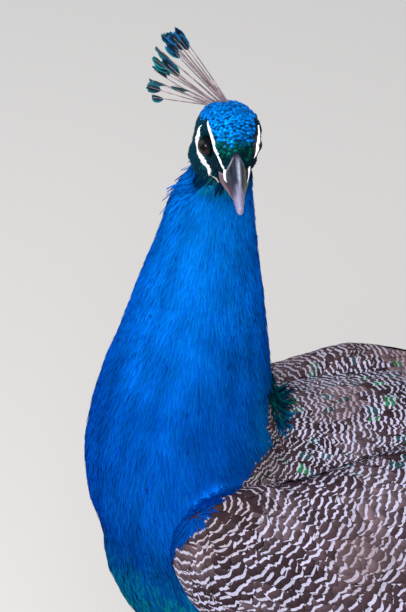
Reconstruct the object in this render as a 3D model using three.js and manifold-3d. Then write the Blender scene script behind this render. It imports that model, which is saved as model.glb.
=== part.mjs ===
// A standing Indian peacock (Pavo cristatus, adult male) at life size, as a still display model.
// Millimetres. +X is the way the trunk faces, +Y the bird's left, +Z up, floor at z = 0.
// The neck is upright, the head looks over the left shoulder, and the folded train rests its end on the floor.
// Every sub-part is a closed solid; neighbours are kept apart by a cut of CUT mm.

import * as THREE from "three";
import { mergeVertices } from "three/addons/utils/BufferGeometryUtils.js";
import Module from "manifold-3d";

const wasm = await Module();
wasm.setup();

// ---------------------------------------------------------------- driving sizes
const CUT = 0.4; // gap between two neighbouring solids
const BIG = 3000; // half-size of a cutting block

const TRUNK = {
  front: 174, // x of the breast's foremost point
  rear: -218, // x of the vent
  widest: 30, // x of the deepest and widest section
  axisHeight: 369,
  halfWidth: 92,
  halfHeight: 101,
};

const NECK = {
  // The neck's middle line, from deep in the breast up to the nape, with half-depth (fore and aft) and half-width.
  stations: [
    { at: [98, 0, 385], depth: 73, width: 74 },
    { at: [117, 0, 440], depth: 65, width: 68 },
    { at: [122, 1, 485], depth: 56, width: 55 },
    { at: [118, 3, 525], depth: 47, width: 45 },
    { at: [114, 5, 565], depth: 39, width: 37 },
    { at: [110, 6, 600], depth: 31, width: 30 },
    { at: [107, 8, 635], depth: 25, width: 24 },
    { at: [103, 14, 668], depth: 19, width: 19 },
  ],
  turn: 75, // degrees that the neck's sections twist to the left by its top
};

const HEAD = {
  centre: [101, 22, 673], // the middle of the head, between the eyes
  yaw: 83, // degrees to the bird's left of the trunk's heading
  pitch: 3, // degrees nose down
  roll: -4, // degrees, left ear up
  back: -31, // x of the occiput in the head's own frame
  front: 25, // x of the feathered front, under the bill's base
  halfWidth: 20.5,
  crown: 21.5,
  chin: -17.5,
};

const EYE = { at: [5, 13.6, 1.5], radius: 6.4, socket: 0.35 };

const BILL = {
  base: 12, // x where the horn starts inside the head's feathers
  tip: 53,
  lowerTip: 49,
  gapeHeight: -7, // z of the line between the halves, from the base to the tip
  tipHeight: -14.5,
  culmen: [13, 13.5, 12.5, 11, 9, 6.8, 4.2, 0], // height of the upper half above that line
  upperWidth: [8.2, 8.2, 7.6, 6, 4.2, 3.1, 2.4, 0], // half-widths, in equal steps along the bill
  lowerWidth: [13, 11.6, 9.2, 6.4, 4.4, 3, 2.1, 0],
  keel: [6, 6.5, 6.2, 5.4, 4.4, 3.2, 2, 0], // depth of the lower half below the line
};

const CREST = {
  feathers: 16,
  rootFirst: [-10, -1, 21], // where the foremost shaft leaves the crown, in the head's frame
  rootLast: [-19, -11, 16.5], // and the hindmost one
  rootRadius: 3, // of the ridge that joins the shafts
  first: [-0.17, -0.52, 0.835], // way the foremost feather points
  last: [-0.61, -0.77, -0.2], // way the hindmost feather points
  length: 53,
  shorter: 0.33, // share by which the hindmost feather is shorter
  shaft: 0.9,
  racket: [14, 7.5, 1.6], // length, width and thickness of a tip
};

const WING = {
  // Middle line of the folded wing, with the section's half-height, half-thickness and lean towards the back.
  stations: [
    { at: [151, 78, 427], height: 10, thick: 8, lean: 8 },
    { at: [141, 81, 424], height: 31, thick: 18, lean: 10 },
    { at: [110, 84, 418], height: 50, thick: 25, lean: 16 },
    { at: [60, 85, 409], height: 58, thick: 27, lean: 23 },
    { at: [0, 82, 400], height: 73, thick: 28, lean: 27 },
    { at: [-90, 76, 384], height: 62, thick: 26, lean: 28 },
    { at: [-180, 65, 369], height: 47, thick: 21, lean: 26 },
    { at: [-270, 54, 352], height: 27, thick: 13, lean: 20 },
    { at: [-318, 50, 343], height: 9, thick: 6, lean: 16 },
  ],
};

const PRIMARIES = {
  blades: 5,
  root: [0, 92, 332],
  tip: [-395, 47, 316], // the longest blade's tip
  step: 26, // each blade ends this much before the next
  rise: 8, // and lies this much lower
  height: 13, // half the depth of one blade
  thick: 3.2,
};

const TRAIN = {
  // Middle line of the long upper tail coverts, with half-width, arch and thickness of the section.
  stations: [
    { at: [-92, 0, 441], width: 40, arch: 8, thick: 22 },
    { at: [-170, 0, 421], width: 62, arch: 18, thick: 44 },
    { at: [-300, 0, 381], width: 84, arch: 30, thick: 46 },
    { at: [-500, 0, 314], width: 108, arch: 36, thick: 40 },
    { at: [-750, 0, 228], width: 128, arch: 36, thick: 32 },
    { at: [-1000, 0, 141], width: 130, arch: 30, thick: 26 },
    { at: [-1200, 0, 70], width: 114, arch: 20, thick: 20 },
    { at: [-1330, 0, 25], width: 92, arch: 10, thick: 15 },
    { at: [-1430, 0, 4], width: 58, arch: 2, thick: 9 },
  ],
  scallops: 18, // feather ends along each edge
  scallopDepth: 0.06,
  tips: 7, // long feathers that end beyond the rest
  tipReach: 68,
  tipWidth: 13,
};

const TAIL = {
  root: [-196, 0, 371],
  end: [-610, 0, 232],
  rootHalfWidth: 26,
  endHalfWidth: 62,
  thick: 9,
};

const LEG = {
  spread: 54, // half the distance between the feet
  stagger: 14, // the left foot stands this far ahead, the right one as far behind
  hip: [-8, 300],
  knee: [12, 292],
  hock: [-48, 168],
  ankle: [8, 21],
  thighRadius: 37,
  hockRadius: 10.5,
  shankRadius: 6.6,
};

// Each toe: the way it points (degrees to the bird's left of straight ahead, for the left foot), length and radius.
const TOES = [
  { name: "inner", angle: -24, length: 50, radius: 5.6, claw: 13 },
  { name: "middle", angle: 2, length: 70, radius: 6, claw: 15 },
  { name: "outer", angle: 27, length: 54, radius: 5.4, claw: 13 },
  { name: "hind", angle: 172, length: 27, radius: 4.6, claw: 11 },
];
const SPUR = { height: 62, length: 24, radius: 4.2 };

// ---------------------------------------------------------------- materials
const finish = (color, roughness, metalness = 0) =>
  new THREE.MeshStandardMaterial({ color, roughness, metalness });
const BLUE = finish(0x0a55c8, 0.45, 0.2);
const BARRED = finish(0x7a6560, 0.7);
const GREEN = finish(0x2f7a4a, 0.45, 0.2);
const RUFOUS = finish(0xa5623a, 0.7);
const BROWN = finish(0x4a3a30, 0.75);
const BUFF = finish(0xb8a184, 0.8);
const HORN = finish(0x8d8a92, 0.4);
const LEGHORN = finish(0x8f8577, 0.55);
const IRIS = finish(0x2a1510, 0.1);
const CRESTBLUE = finish(0x0d5d86, 0.5, 0.2);

// ---------------------------------------------------------------- shape helpers
const v3 = (a) => new THREE.Vector3(...a);
const rad = THREE.MathUtils.degToRad;
const lerp = THREE.MathUtils.lerp;
const clamp01 = (x) => THREE.MathUtils.clamp(x, 0, 1);

// A closed, outward-facing manifold-3d solid from a three.js geometry.
function solid(geometry) {
  const g = geometry.clone();
  for (const name of ["normal", "uv"]) g.deleteAttribute(name);
  const m = mergeVertices(g, 1e-3);
  const tri = new Uint32Array(m.index.array);
  const p = m.attributes.position.array;
  let volume = 0;
  for (let i = 0; i < tri.length; i += 3) {
    const [a, b, c] = [0, 1, 2].map((k) =>
      new THREE.Vector3().fromArray(p, 3 * tri[i + k]),
    );
    volume += a.dot(b.cross(c));
  }
  if (volume < 0)
    for (let i = 0; i < tri.length; i += 3)
      [tri[i + 1], tri[i + 2]] = [tri[i + 2], tri[i + 1]];
  return new wasm.Manifold(
    new wasm.Mesh({ numProp: 3, vertProperties: p, triVerts: tri }),
  );
}

// A closed skin over surface(angle, t): t runs from one pole to the other, and each pole is one point.
function skin(surface, around, along) {
  const g = new THREE.SphereGeometry(1, around, along);
  const uv = g.getAttribute("uv");
  const pos = g.getAttribute("position");
  for (let i = 0; i < pos.count; i++) {
    const t = clamp01(1 - uv.getY(i));
    const p = surface(2 * Math.PI * uv.getX(i), t);
    pos.setXYZ(i, p.x, p.y, p.z);
  }
  return solid(g);
}

// Smooth values through a list of stations, read at t from 0 to 1.
function through(stations, keys) {
  const line = new THREE.CatmullRomCurve3(
    stations.map((s) => v3(s.at)),
    false,
    "centripetal",
  );
  const count = stations.length - 1;
  const smooth = (key, t) => {
    const k = Math.min(Math.floor(t * count), count - 1);
    const f = t * count - k;
    const at = (i) => stations[THREE.MathUtils.clamp(i, 0, count)][key];
    const [a, b, c, d] = [at(k - 1), at(k), at(k + 1), at(k + 2)];
    const slope = (c - a) / 2;
    const next = (d - b) / 2;
    return (
      b +
      f * (slope + f * (3 * (c - b) - 2 * slope - next + f * (2 * (b - c) + slope + next)))
    );
  };
  return (t) => {
    const values = { at: line.getPoint(t), along: line.getTangent(t) };
    for (const key of keys) values[key] = smooth(key, t);
    return values;
  };
}

// Eases from 0 at a pole to 1 over the given share of the length, as a round end does.
const roundEnd = (t, share) => {
  const q = clamp01(Math.min(t, 1 - t) / share);
  return Math.sqrt(1 - (1 - q) * (1 - q));
};

// Packs the rings of a skin towards both of its ends.
const towardsEnds = (t) => (1 - Math.cos(Math.PI * t)) / 2;

const block = (low, high) =>
  solid(
    new THREE.BoxGeometry(
      ...[0, 1, 2].map((i) => high[i] - low[i]),
    ).translate(...[0, 1, 2].map((i) => (low[i] + high[i]) / 2)),
  );

// Splits a solid by the plane through point with the given normal: [what lies ahead of it, what lies behind].
function parted(whole, point, normal) {
  const side = (sign) => {
    const half = new THREE.BoxGeometry(2 * BIG, 2 * BIG, BIG);
    half.translate(0, 0, (sign * (BIG + CUT)) / 2);
    half.applyQuaternion(
      new THREE.Quaternion().setFromUnitVectors(
        new THREE.Vector3(0, 0, 1),
        v3(normal).normalize(),
      ),
    );
    half.translate(...point);
    return whole.intersect(solid(half));
  };
  return [side(1), side(-1)];
}

const aboveFloor = (s) => s.intersect(block([-BIG, -BIG, 0], [BIG, BIG, BIG]));

// The largest piece, where a cut leaves crumbs.
const largest = (s) =>
  s.decompose().reduce((a, b) => (b.volume() > a.volume() ? b : a));

const mirrored = (s) => s.mirror([0, 1, 0]);

function placed(s, position, euler) {
  const m = new THREE.Matrix4()
    .makeRotationFromEuler(euler)
    .setPosition(...position);
  return s.transform(m.toArray());
}

const root = new THREE.Group();
root.name = "peacock";

function node(name, s, material) {
  const mesh = s.getMesh();
  const n = mesh.numProp;
  const points = new Float32Array(mesh.numVert * 3);
  for (let i = 0; i < mesh.numVert; i++)
    points.set(mesh.vertProperties.subarray(i * n, i * n + 3), 3 * i);
  const g = new THREE.BufferGeometry()
    .setAttribute("position", new THREE.BufferAttribute(points, 3))
    .setIndex(new THREE.BufferAttribute(new Uint32Array(mesh.triVerts), 1));
  const made = new THREE.Mesh(g, material);
  made.name = name;
  root.add(made);
}

// ---------------------------------------------------------------- trunk and neck
function trunk(grow = 0) {
  const { front, rear, widest } = TRUNK;
  return skin(
    (angle, t) => {
      const x = lerp(front + grow, rear - grow, towardsEnds(t));
      const ahead = x > widest;
      const q = (x - widest) / (ahead ? front + grow - widest : widest - rear + grow);
      const fade = Math.pow(Math.max(0, 1 - q * q), ahead ? 0.5 : 0.66);
      const lift = ahead ? 24 * Math.pow(q, 1.6) : 6 * q * q;
      const y = (TRUNK.halfWidth * fade + grow * Math.sqrt(fade)) * Math.cos(angle);
      const z = (TRUNK.halfHeight * fade + grow * Math.sqrt(fade)) * Math.sin(angle);
      return new THREE.Vector3(x, y, TRUNK.axisHeight + lift + z);
    },
    22,
    16,
  );
}

function neck(grow = 0) {
  const read = through(NECK.stations, ["depth", "width"]);
  return skin(
    (angle, t) => {
      const { at, along, depth, width } = read(t);
      const turn = rad(NECK.turn) * Math.pow(clamp01((t - 0.45) / 0.55), 1.5);
      const fore = new THREE.Vector3(Math.cos(turn), Math.sin(turn), 0);
      const left = along.clone().cross(fore).normalize();
      fore.copy(left).cross(along).normalize();
      const fade = roundEnd(t, 0.06);
      return at
        .addScaledVector(fore, (depth + grow) * fade * Math.cos(angle))
        .addScaledVector(left, (width + grow) * fade * Math.sin(angle));
    },
    18,
    14,
  );
}

// ---------------------------------------------------------------- head, in its own frame
// Below the eyes the section is fuller than a circle's, for the cheeks.
const jowl = (angle) => (Math.sin(angle) < 0 ? 0.62 : 1);

function skull(grow = 0) {
  const { back, front, halfWidth, crown, chin } = HEAD;
  return skin(
    (angle, t) => {
      const s = towardsEnds(t);
      const x = lerp(back - grow, front + grow, s);
      const round = Math.pow(Math.max(0, 4 * s * (1 - s)), 0.42);
      const narrow = 1 - 0.46 * Math.pow(clamp01((s - 0.45) / 0.55), 1.25);
      const low = 1 - 0.34 * Math.pow(clamp01((s - 0.5) / 0.5), 1.4);
      const half = ((crown - chin) / 2) * low;
      const middle = (crown + chin) / 2 - 2.4 * clamp01((s - 0.55) / 0.45);
      const across = Math.sign(Math.cos(angle)) * Math.pow(Math.abs(Math.cos(angle)), jowl(angle));
      const y = (halfWidth * narrow + grow) * round * across;
      const z = middle + (half + grow) * round * Math.sin(angle);
      return new THREE.Vector3(x, y, z);
    },
    16,
    12,
  );
}

// Reads a list of equally spaced values at s from 0 to 1.
function along(values, s) {
  const k = Math.min(Math.floor(s * (values.length - 1)), values.length - 2);
  return lerp(values[k], values[k + 1], s * (values.length - 1) - k);
}

// One half of the bill: a curved horn from its base to its tip, with a flat side where the halves meet.
function mandible(upper) {
  const tip = upper ? BILL.tip : BILL.lowerTip;
  const side = upper ? 1 : -1;
  return skin(
    (angle, t) => {
      const x = lerp(BILL.base, tip, t);
      const open = roundEnd(t, 0.07);
      const way = (x - BILL.base) / (BILL.tip - BILL.base);
      const seam = lerp(BILL.gapeHeight, BILL.tipHeight, Math.pow(way, 1.6));
      const width = along(upper ? BILL.upperWidth : BILL.lowerWidth, t);
      const depth = along(upper ? BILL.culmen : BILL.keel, t);
      const y = width * open * Math.cos(angle);
      const bulge = Math.max(0, side * Math.sin(angle));
      return new THREE.Vector3(x, y, seam + side * (CUT / 2 + depth * bulge * open));
    },
    10,
    8,
  );
}

function racketFeather(way, length, rootAt) {
  const up = new THREE.Vector3(0, 0, 1);
  const turn = new THREE.Quaternion().setFromUnitVectors(up, way);
  const [racketLength, racketWidth, racketThick] = CREST.racket;
  const shaft = new THREE.CylinderGeometry(CREST.shaft / 2, CREST.shaft / 1.5, length - 6, 3)
    .rotateX(Math.PI / 2)
    .translate(0, 0, length / 2 - 3);
  const blade = new THREE.SphereGeometry(0.5, 5, 3)
    .rotateX(Math.PI / 2)
    .scale(racketThick, racketWidth, racketLength)
    .translate(0, 0, length - racketLength / 2);
  return [shaft, blade]
    .map((g) => solid(g.applyQuaternion(turn).translate(...rootAt)))
    .reduce((a, b) => a.add(b));
}

function crest() {
  const first = v3(CREST.first).normalize();
  const last = v3(CREST.last).normalize();
  const spread = Math.acos(first.dot(last));
  const { rootFirst, rootLast, rootRadius } = CREST;
  const rootAt = (f) => rootFirst.map((value, i) => lerp(value, rootLast[i], f));
  const ridge = [0, 0.5, 1].map(rootAt);
  const made = [tubeBetween(ridge, [rootRadius, rootRadius], 6, 5)];
  for (let i = 0; i < CREST.feathers; i++) {
    const f = i / (CREST.feathers - 1);
    const way = first
      .clone()
      .multiplyScalar(Math.sin((1 - f) * spread))
      .addScaledVector(last, Math.sin(f * spread))
      .normalize();
    way.x += 0.07 * (i % 3) - 0.07; // three loose ranks, so that the rackets overlap
    const length = CREST.length * (1 - CREST.shorter * f * f) * (1 - 0.1 * ((i * 7) % 3) / 2);
    made.push(racketFeather(way.normalize(), length, rootAt(0.08 + 0.84 * f)));
  }
  return largest(made.reduce((a, b) => a.add(b)).subtract(skull(CUT)));
}

// Takes a solid from the head's frame to the bird's.
function onHead(s) {
  const turn = new THREE.Euler(rad(HEAD.roll), rad(HEAD.pitch), rad(HEAD.yaw), "ZYX");
  return placed(s, HEAD.centre, turn);
}

// ---------------------------------------------------------------- wings
function wing(grow = 0) {
  const read = through(WING.stations, ["height", "thick", "lean"]);
  return skin(
    (angle, t) => {
      const { at, height, thick, lean } = read(t);
      const fade = roundEnd(t, 0.05);
      const out = (thick + grow) * fade * Math.cos(angle);
      const up = (height + grow) * fade * Math.sin(angle);
      const tilt = rad(lean);
      at.y += out * Math.cos(tilt) - up * Math.sin(tilt);
      at.z += out * Math.sin(tilt) + up * Math.cos(tilt);
      return at;
    },
    14,
    14,
  );
}

// One long flight feather as a flat blade, lying edge up.
function blade(from, to, height, thick) {
  const a = v3(from);
  const b = v3(to);
  return skin(
    (angle, t) => {
      const s = towardsEnds(t);
      const fade = roundEnd(s, 0.16);
      return a
        .clone()
        .lerp(b, s)
        .add(
          new THREE.Vector3(
            0,
            thick * fade * Math.cos(angle),
            height * fade * Math.sin(angle),
          ),
        );
    },
    4,
    6,
  );
}

function primaries(grow = 0) {
  const { root: from, tip, blades, step, rise, height, thick } = PRIMARIES;
  return Array.from({ length: blades }, (_, i) =>
    blade(
      [from[0], from[1] + 0.9 * i, from[2] - rise * 0.5 * i],
      [tip[0] + step * i, tip[1] + 3.5 * i, tip[2] - rise * i],
      height + grow,
      thick + grow,
    ),
  ).reduce((a, b) => a.add(b));
}

// ---------------------------------------------------------------- train and tail
function trainBody(grow = 0) {
  const read = through(TRAIN.stations, ["width", "arch", "thick"]);
  return skin(
    (angle, t) => {
      const { at, along, width, arch, thick } = read(t);
      const up = new THREE.Vector3(-along.z, 0, along.x).multiplyScalar(-1);
      const fade = roundEnd(t, 0.03);
      const notch = 1 + TRAIN.scallopDepth * Math.cos(2 * Math.PI * TRAIN.scallops * t);
      const across = Math.cos(angle);
      const bow = arch * (1 - across * across) - arch * 0.5;
      const lens = (thick / 2) * Math.sin(angle) * (0.35 + 0.65 * Math.abs(Math.sin(angle)));
      at.y += (width * notch + grow) * fade * across;
      return at.addScaledVector(up, (bow + lens + grow * Math.sin(angle)) * fade);
    },
    12,
    2 * TRAIN.scallops,
  );
}

// The longest feathers, which lie on the floor past the train's end, each with a broad notched tip.
function trainTips() {
  const end = TRAIN.stations[TRAIN.stations.length - 1];
  const w = TRAIN.tipWidth;
  return Array.from({ length: TRAIN.tips }, (_, i) => {
    const f = (2 * i) / (TRAIN.tips - 1) - 1;
    const reach = TRAIN.tipReach * (1 - 0.45 * f * f) * (i % 2 ? 0.86 : 1);
    const outline = new THREE.Shape();
    outline.moveTo(-40, -w * 0.5);
    outline.lineTo(reach - 2 * w, -w);
    outline.quadraticCurveTo(reach, -w, reach, -w * 0.4);
    outline.lineTo(reach - w * 0.5, 0);
    outline.lineTo(reach, w * 0.4);
    outline.quadraticCurveTo(reach, w, reach - 2 * w, w);
    outline.lineTo(-40, w * 0.5);
    outline.closePath();
    const plate = new THREE.ExtrudeGeometry(outline, {
      depth: 3.2 + 1.3 * (i % 3),
      bevelEnabled: false,
      curveSegments: 2,
    });
    plate.rotateZ(Math.PI - 0.42 * f);
    plate.translate(end.at[0] + 30 - 12 * (1 - f * f), 0.72 * end.width * f, 0);
    return solid(plate);
  });
}

function tail(grow = 0) {
  const { root: from, end, rootHalfWidth, endHalfWidth, thick } = TAIL;
  const a = v3(from);
  const b = v3(end);
  return skin(
    (angle, t) => {
      const s = towardsEnds(t);
      const fade = roundEnd(s, 0.12);
      const width = (lerp(rootHalfWidth, endHalfWidth, s) + grow) * fade;
      const tent = -14 * s * fade * Math.pow(Math.cos(angle), 2);
      return a
        .clone()
        .lerp(b, s)
        .add(
          new THREE.Vector3(
            0,
            width * Math.cos(angle),
            (thick + grow) * fade * Math.sin(angle) + tent,
          ),
        );
    },
    10,
    10,
  );
}

// ---------------------------------------------------------------- legs, for the left side
function tubeBetween(points, radii, around, along, bumps = 0) {
  const line = new THREE.CatmullRomCurve3(points.map(v3), false, "centripetal");
  return skin(
    (angle, t) => {
      const s = towardsEnds(t);
      const at = line.getPoint(s);
      const tangent = line.getTangent(s);
      const left = new THREE.Vector3(0, 1, 0).cross(tangent).normalize();
      const up = tangent.clone().cross(left).normalize();
      const k = Math.min(Math.floor(s * (radii.length - 1)), radii.length - 2);
      const swell = 1 + 0.1 * Math.cos(2 * Math.PI * bumps * s) * (bumps ? 1 : 0);
      const r = lerp(radii[k], radii[k + 1], s * (radii.length - 1) - k) * roundEnd(s, 0.09) * swell;
      return at
        .addScaledVector(left, r * Math.cos(angle))
        .addScaledVector(up, r * Math.sin(angle));
    },
    around,
    along,
  );
}

function thigh(x) {
  const y = LEG.spread - 5;
  const [hipX, hipZ] = LEG.hip;
  const [kneeX, kneeZ] = LEG.knee;
  const [hockX, hockZ] = LEG.hock;
  const R = LEG.thighRadius;
  return tubeBetween(
    [
      [hipX + x * 0.5, y - 12, hipZ + 20],
      [kneeX + x * 0.7, y, kneeZ - 30],
      [lerp(kneeX, hockX, 0.6) + x, y + 2, lerp(kneeZ, hockZ, 0.6)],
      [hockX + x, y + 4, hockZ + 5],
    ],
    [R * 0.8, R, R * 0.92, R * 0.66, LEG.hockRadius * 1.5, LEG.hockRadius * 1.15],
    10,
    8,
  );
}

function shank(x) {
  const [hockX, hockZ] = LEG.hock;
  const [ankleX, ankleZ] = LEG.ankle;
  const r = LEG.shankRadius;
  return tubeBetween(
    [
      [hockX + x - 1, LEG.spread, hockZ + 8],
      [hockX + x + 2, LEG.spread, hockZ - 12],
      [lerp(hockX, ankleX, 0.55) + x, LEG.spread, lerp(hockZ, ankleZ, 0.55)],
      [ankleX + x, LEG.spread, ankleZ - 6],
    ],
    [LEG.hockRadius * 0.8, LEG.hockRadius, r * 1.05, r, r, r * 1.25, r * 1.1],
    8,
    9,
  );
}

function toeWay(toe) {
  return [Math.cos(rad(toe.angle)), Math.sin(rad(toe.angle))];
}

function toeOf(toe, x) {
  const [cx, cy] = toeWay(toe);
  const ball = [LEG.ankle[0] + x, LEG.spread];
  const at = (d, z) => [ball[0] + cx * d, ball[1] + cy * d, z];
  const raised = toe.name === "hind" ? 8 : 0;
  return tubeBetween(
    [
      at(-2, 14 + raised),
      at(toe.length * 0.22, toe.radius + 3 + raised),
      at(toe.length * 0.6, toe.radius - 0.9 + raised * 0.3),
      at(toe.length, toe.radius - 1.3),
    ],
    [toe.radius * 1.25, toe.radius * 1.05, toe.radius, toe.radius * 0.78],
    6,
    7,
    3,
  );
}

function claw(toe, x, grow = 0) {
  const [cx, cy] = toeWay(toe);
  const ball = [LEG.ankle[0] + x, LEG.spread];
  const at = (d, z) => [ball[0] + cx * d, ball[1] + cy * d, z];
  const L = toe.length - 3.5;
  return tubeBetween(
    [
      at(L, toe.radius),
      at(L + toe.claw * 0.45, toe.radius + 0.6),
      at(L + toe.claw * 0.8, toe.radius * 0.62),
      at(L + toe.claw, 1.1),
    ],
    [0.56, 0.52, 0.36, 0.15].map((k) => toe.radius * k + grow),
    5,
    6,
  );
}

function spur(x) {
  const [hockX, hockZ] = LEG.hock;
  const [ankleX, ankleZ] = LEG.ankle;
  const f = (hockZ - SPUR.height) / (hockZ - ankleZ);
  const at = [lerp(hockX, ankleX, f) + x, LEG.spread, SPUR.height];
  const to = (d, z) => [at[0] - d * 0.88, at[1] - d * 0.42, at[2] + z];
  return tubeBetween(
    [to(3, 0), to(SPUR.length * 0.55, -1), to(SPUR.length, 4)],
    [SPUR.radius, SPUR.radius * 0.7, 0.9],
    8,
    7,
  );
}

// ---------------------------------------------------------------- assembly
const eyeball = (side, grow = 0) =>
  solid(
    new THREE.SphereGeometry(EYE.radius + grow, 10, 7).translate(
      EYE.at[0],
      side * EYE.at[1],
      EYE.at[2],
    ),
  );

const flesh = trunk()
  .add(neck())
  .add(onHead(skull()))
  .subtract(onHead(eyeball(1, EYE.socket)))
  .subtract(onHead(eyeball(-1, EYE.socket)));
const body = trunk(CUT).add(neck(CUT));

// The flesh is one shape, parted by flat cuts from the head down to the rump.
let rest = flesh;
for (const [name, point, normal, material] of [
  ["head", [103, 8, 649], [-0.05, 0.5, 0.86], BLUE],
  ["neck_upper", [116, 0, 556], [-0.1, 0, 1], BLUE],
  ["neck_lower", [110, 0, 472], [0.22, 0, 1], BLUE],
]) {
  const [ahead, behind] = parted(rest, point, normal);
  node(name, largest(ahead), material);
  rest = behind;
}
node("trunk", largest(rest), BLUE);

const headRoom = onHead(skull(CUT));
node("bill_upper", largest(onHead(mandible(true)).subtract(headRoom)), HORN);
node("bill_lower", largest(onHead(mandible(false)).subtract(headRoom)), HORN);
node("eye_left", onHead(eyeball(1)), IRIS);
node("eye_right", onHead(eyeball(-1)), IRIS);
node("crest", onHead(crest()), CRESTBLUE);

const wingRoom = wing(CUT);
const wingsRoom = wingRoom.add(mirrored(wingRoom));
const train = aboveFloor(trainTips().reduce((a, b) => a.add(b), trainBody()))
  .subtract(body)
  .subtract(wingsRoom);
const trainRoom = trainBody(CUT);
const rectrices = tail(CUT).subtract(trainRoom);
node("train", largest(train), GREEN);
node("tail", largest(tail().subtract(trainRoom).subtract(body)), BROWN);

for (const [side, name, turn] of [
  [1, "left", (s) => s],
  [-1, "right", mirrored],
]) {
  const x = side * LEG.stagger;
  const wingSide = turn(wing()).subtract(body);
  const flight = turn(primaries().subtract(wingRoom));
  node("wing_" + name, largest(wingSide), BARRED);
  node(
    "primaries_" + name,
    largest(flight.subtract(body).subtract(trainRoom).subtract(rectrices)),
    RUFOUS,
  );

  const outer = turn(wingRoom.add(primaries(CUT)));
  const leg = turn(thigh(x)).subtract(body).subtract(outer).add(turn(shank(x)));
  const toes = TOES.reduce((all, toe) => all.add(turn(toeOf(toe, x))), leg);
  const [upper, lower] = parted(toes, [0, 0, LEG.hock[1] + 3], [0, 0, 1]);
  const [shin, foot] = parted(lower, [0, 0, LEG.ankle[1] + 5], [0, 0, 1]);
  node("thigh_" + name, largest(upper), BUFF);
  node("shank_" + name, largest(shin.add(turn(spur(x)))), LEGHORN);
  const bare = TOES.reduce((all, toe) => all.subtract(turn(claw(toe, x, CUT))), foot);
  node("foot_" + name, largest(aboveFloor(bare)), LEGHORN);
  for (const toe of TOES)
    node(["claw", toe.name, name].join("_"), aboveFloor(turn(claw(toe, x))), HORN);
}

// The origin is the middle of the bounding box, at the floor.
const box = new THREE.Box3().setFromObject(root);
const middle = box.getCenter(new THREE.Vector3());
for (const mesh of root.children) mesh.geometry.translate(-middle.x, -middle.y, -box.min.z);

export default root;
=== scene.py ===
import itertools
import math

import bpy
import numpy as np
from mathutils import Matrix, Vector
from mathutils.bvhtree import BVHTree


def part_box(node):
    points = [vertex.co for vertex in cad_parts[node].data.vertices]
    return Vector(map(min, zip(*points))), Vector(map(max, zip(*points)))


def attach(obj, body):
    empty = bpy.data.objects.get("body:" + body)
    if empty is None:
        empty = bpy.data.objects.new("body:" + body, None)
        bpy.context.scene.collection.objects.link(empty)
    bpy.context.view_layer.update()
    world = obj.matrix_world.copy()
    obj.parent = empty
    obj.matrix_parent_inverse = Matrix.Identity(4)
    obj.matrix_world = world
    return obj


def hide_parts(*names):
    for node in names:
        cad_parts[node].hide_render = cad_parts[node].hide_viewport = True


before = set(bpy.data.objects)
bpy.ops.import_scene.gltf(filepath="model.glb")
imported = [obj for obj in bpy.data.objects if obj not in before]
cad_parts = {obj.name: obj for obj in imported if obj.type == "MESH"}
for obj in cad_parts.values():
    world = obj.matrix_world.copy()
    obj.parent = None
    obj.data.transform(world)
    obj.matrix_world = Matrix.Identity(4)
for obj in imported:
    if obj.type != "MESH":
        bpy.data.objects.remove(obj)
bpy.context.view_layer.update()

MM = 0.001
seeded = np.random.default_rng

# ---- the bird's frame
# Bird millimetres: x ahead, y to the bird's left, z up, x = 0 over the hips.
HEAD_AT = np.array([101.0, 22.0, 673.0])
HEAD_TURN = (83.0, 3.0, -4.0)  # yaw, pitch and roll in degrees
EYE_AT = np.array([5.0, 13.6, 1.5])  # the left eye in the head's own frame


def turn_matrix(yaw, pitch, roll):
    a, b, c = (math.radians(v) for v in (yaw, pitch, roll))
    rz = np.array([[math.cos(a), -math.sin(a), 0], [math.sin(a), math.cos(a), 0], [0, 0, 1]])
    ry = np.array([[math.cos(b), 0, math.sin(b)], [0, 1, 0], [-math.sin(b), 0, math.cos(b)]])
    rx = np.array([[1, 0, 0], [0, math.cos(c), -math.sin(c)], [0, math.sin(c), math.cos(c)]])
    return rz @ ry @ rx


HEAD_M = turn_matrix(*HEAD_TURN)
_lo, _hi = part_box("eye_left")
ORIGIN = np.array((_lo + _hi) / 2) / MM - (HEAD_AT + HEAD_M @ EYE_AT)


def bird(p):
    """Bird millimetres to metres in the row frame."""
    return (np.asarray(p, float) + ORIGIN) * MM


def to_bird(p):
    return np.asarray(p, float) / MM - ORIGIN


def from_head(p):
    """Head millimetres (x to the bill, y left, z up) to bird millimetres."""
    return HEAD_AT + np.asarray(p, float) @ HEAD_M.T


def to_head(p):
    """Bird millimetres to head millimetres."""
    return (np.asarray(p, float) - HEAD_AT) @ HEAD_M


# ---- small helpers
def rgb(hexa):
    """A hex colour as linear light."""
    c = np.array([int(hexa[i : i + 2], 16) / 255 for i in (1, 3, 5)])
    return np.where(c <= 0.04045, c / 12.92, ((c + 0.055) / 1.055) ** 2.4)


def xyz(p):
    return p[..., 0], p[..., 1], p[..., 2]


def unit(v):
    return v / np.maximum(np.linalg.norm(v, axis=-1, keepdims=True), 1e-12)


def smooth(x, a, b):
    t = np.clip((x - a) / (b - a), 0, 1)
    return t * t * (3 - 2 * t)


def mix(a, b, t):
    """From a to b by t; each a colour or its hex name."""
    a, b = (rgb(c) if isinstance(c, str) else c for c in (a, b))
    return a + (b - a) * np.asarray(t)[..., None]


def wave(p, scale, seed):
    """Cheap smooth noise from -1 to 1 at points p, with bumps about `scale` across."""
    r = seeded(seed)
    total = 0
    for _ in range(5):
        k = r.normal(size=3)
        k *= r.uniform(0.6, 1.6) * 2 * math.pi / scale / np.linalg.norm(k)
        total = total + np.sin(p @ k + r.uniform(0, 6.28))
    return total / 2.6


def tree_of(verts, faces):
    """A search tree over a surface."""
    return BVHTree.FromPolygons([tuple(p) for p in verts], [tuple(map(int, f)) for f in faces])


def mids(values):
    """The middles between neighbours in a list of places."""
    return (values[:-1] + values[1:]) / 2


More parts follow.
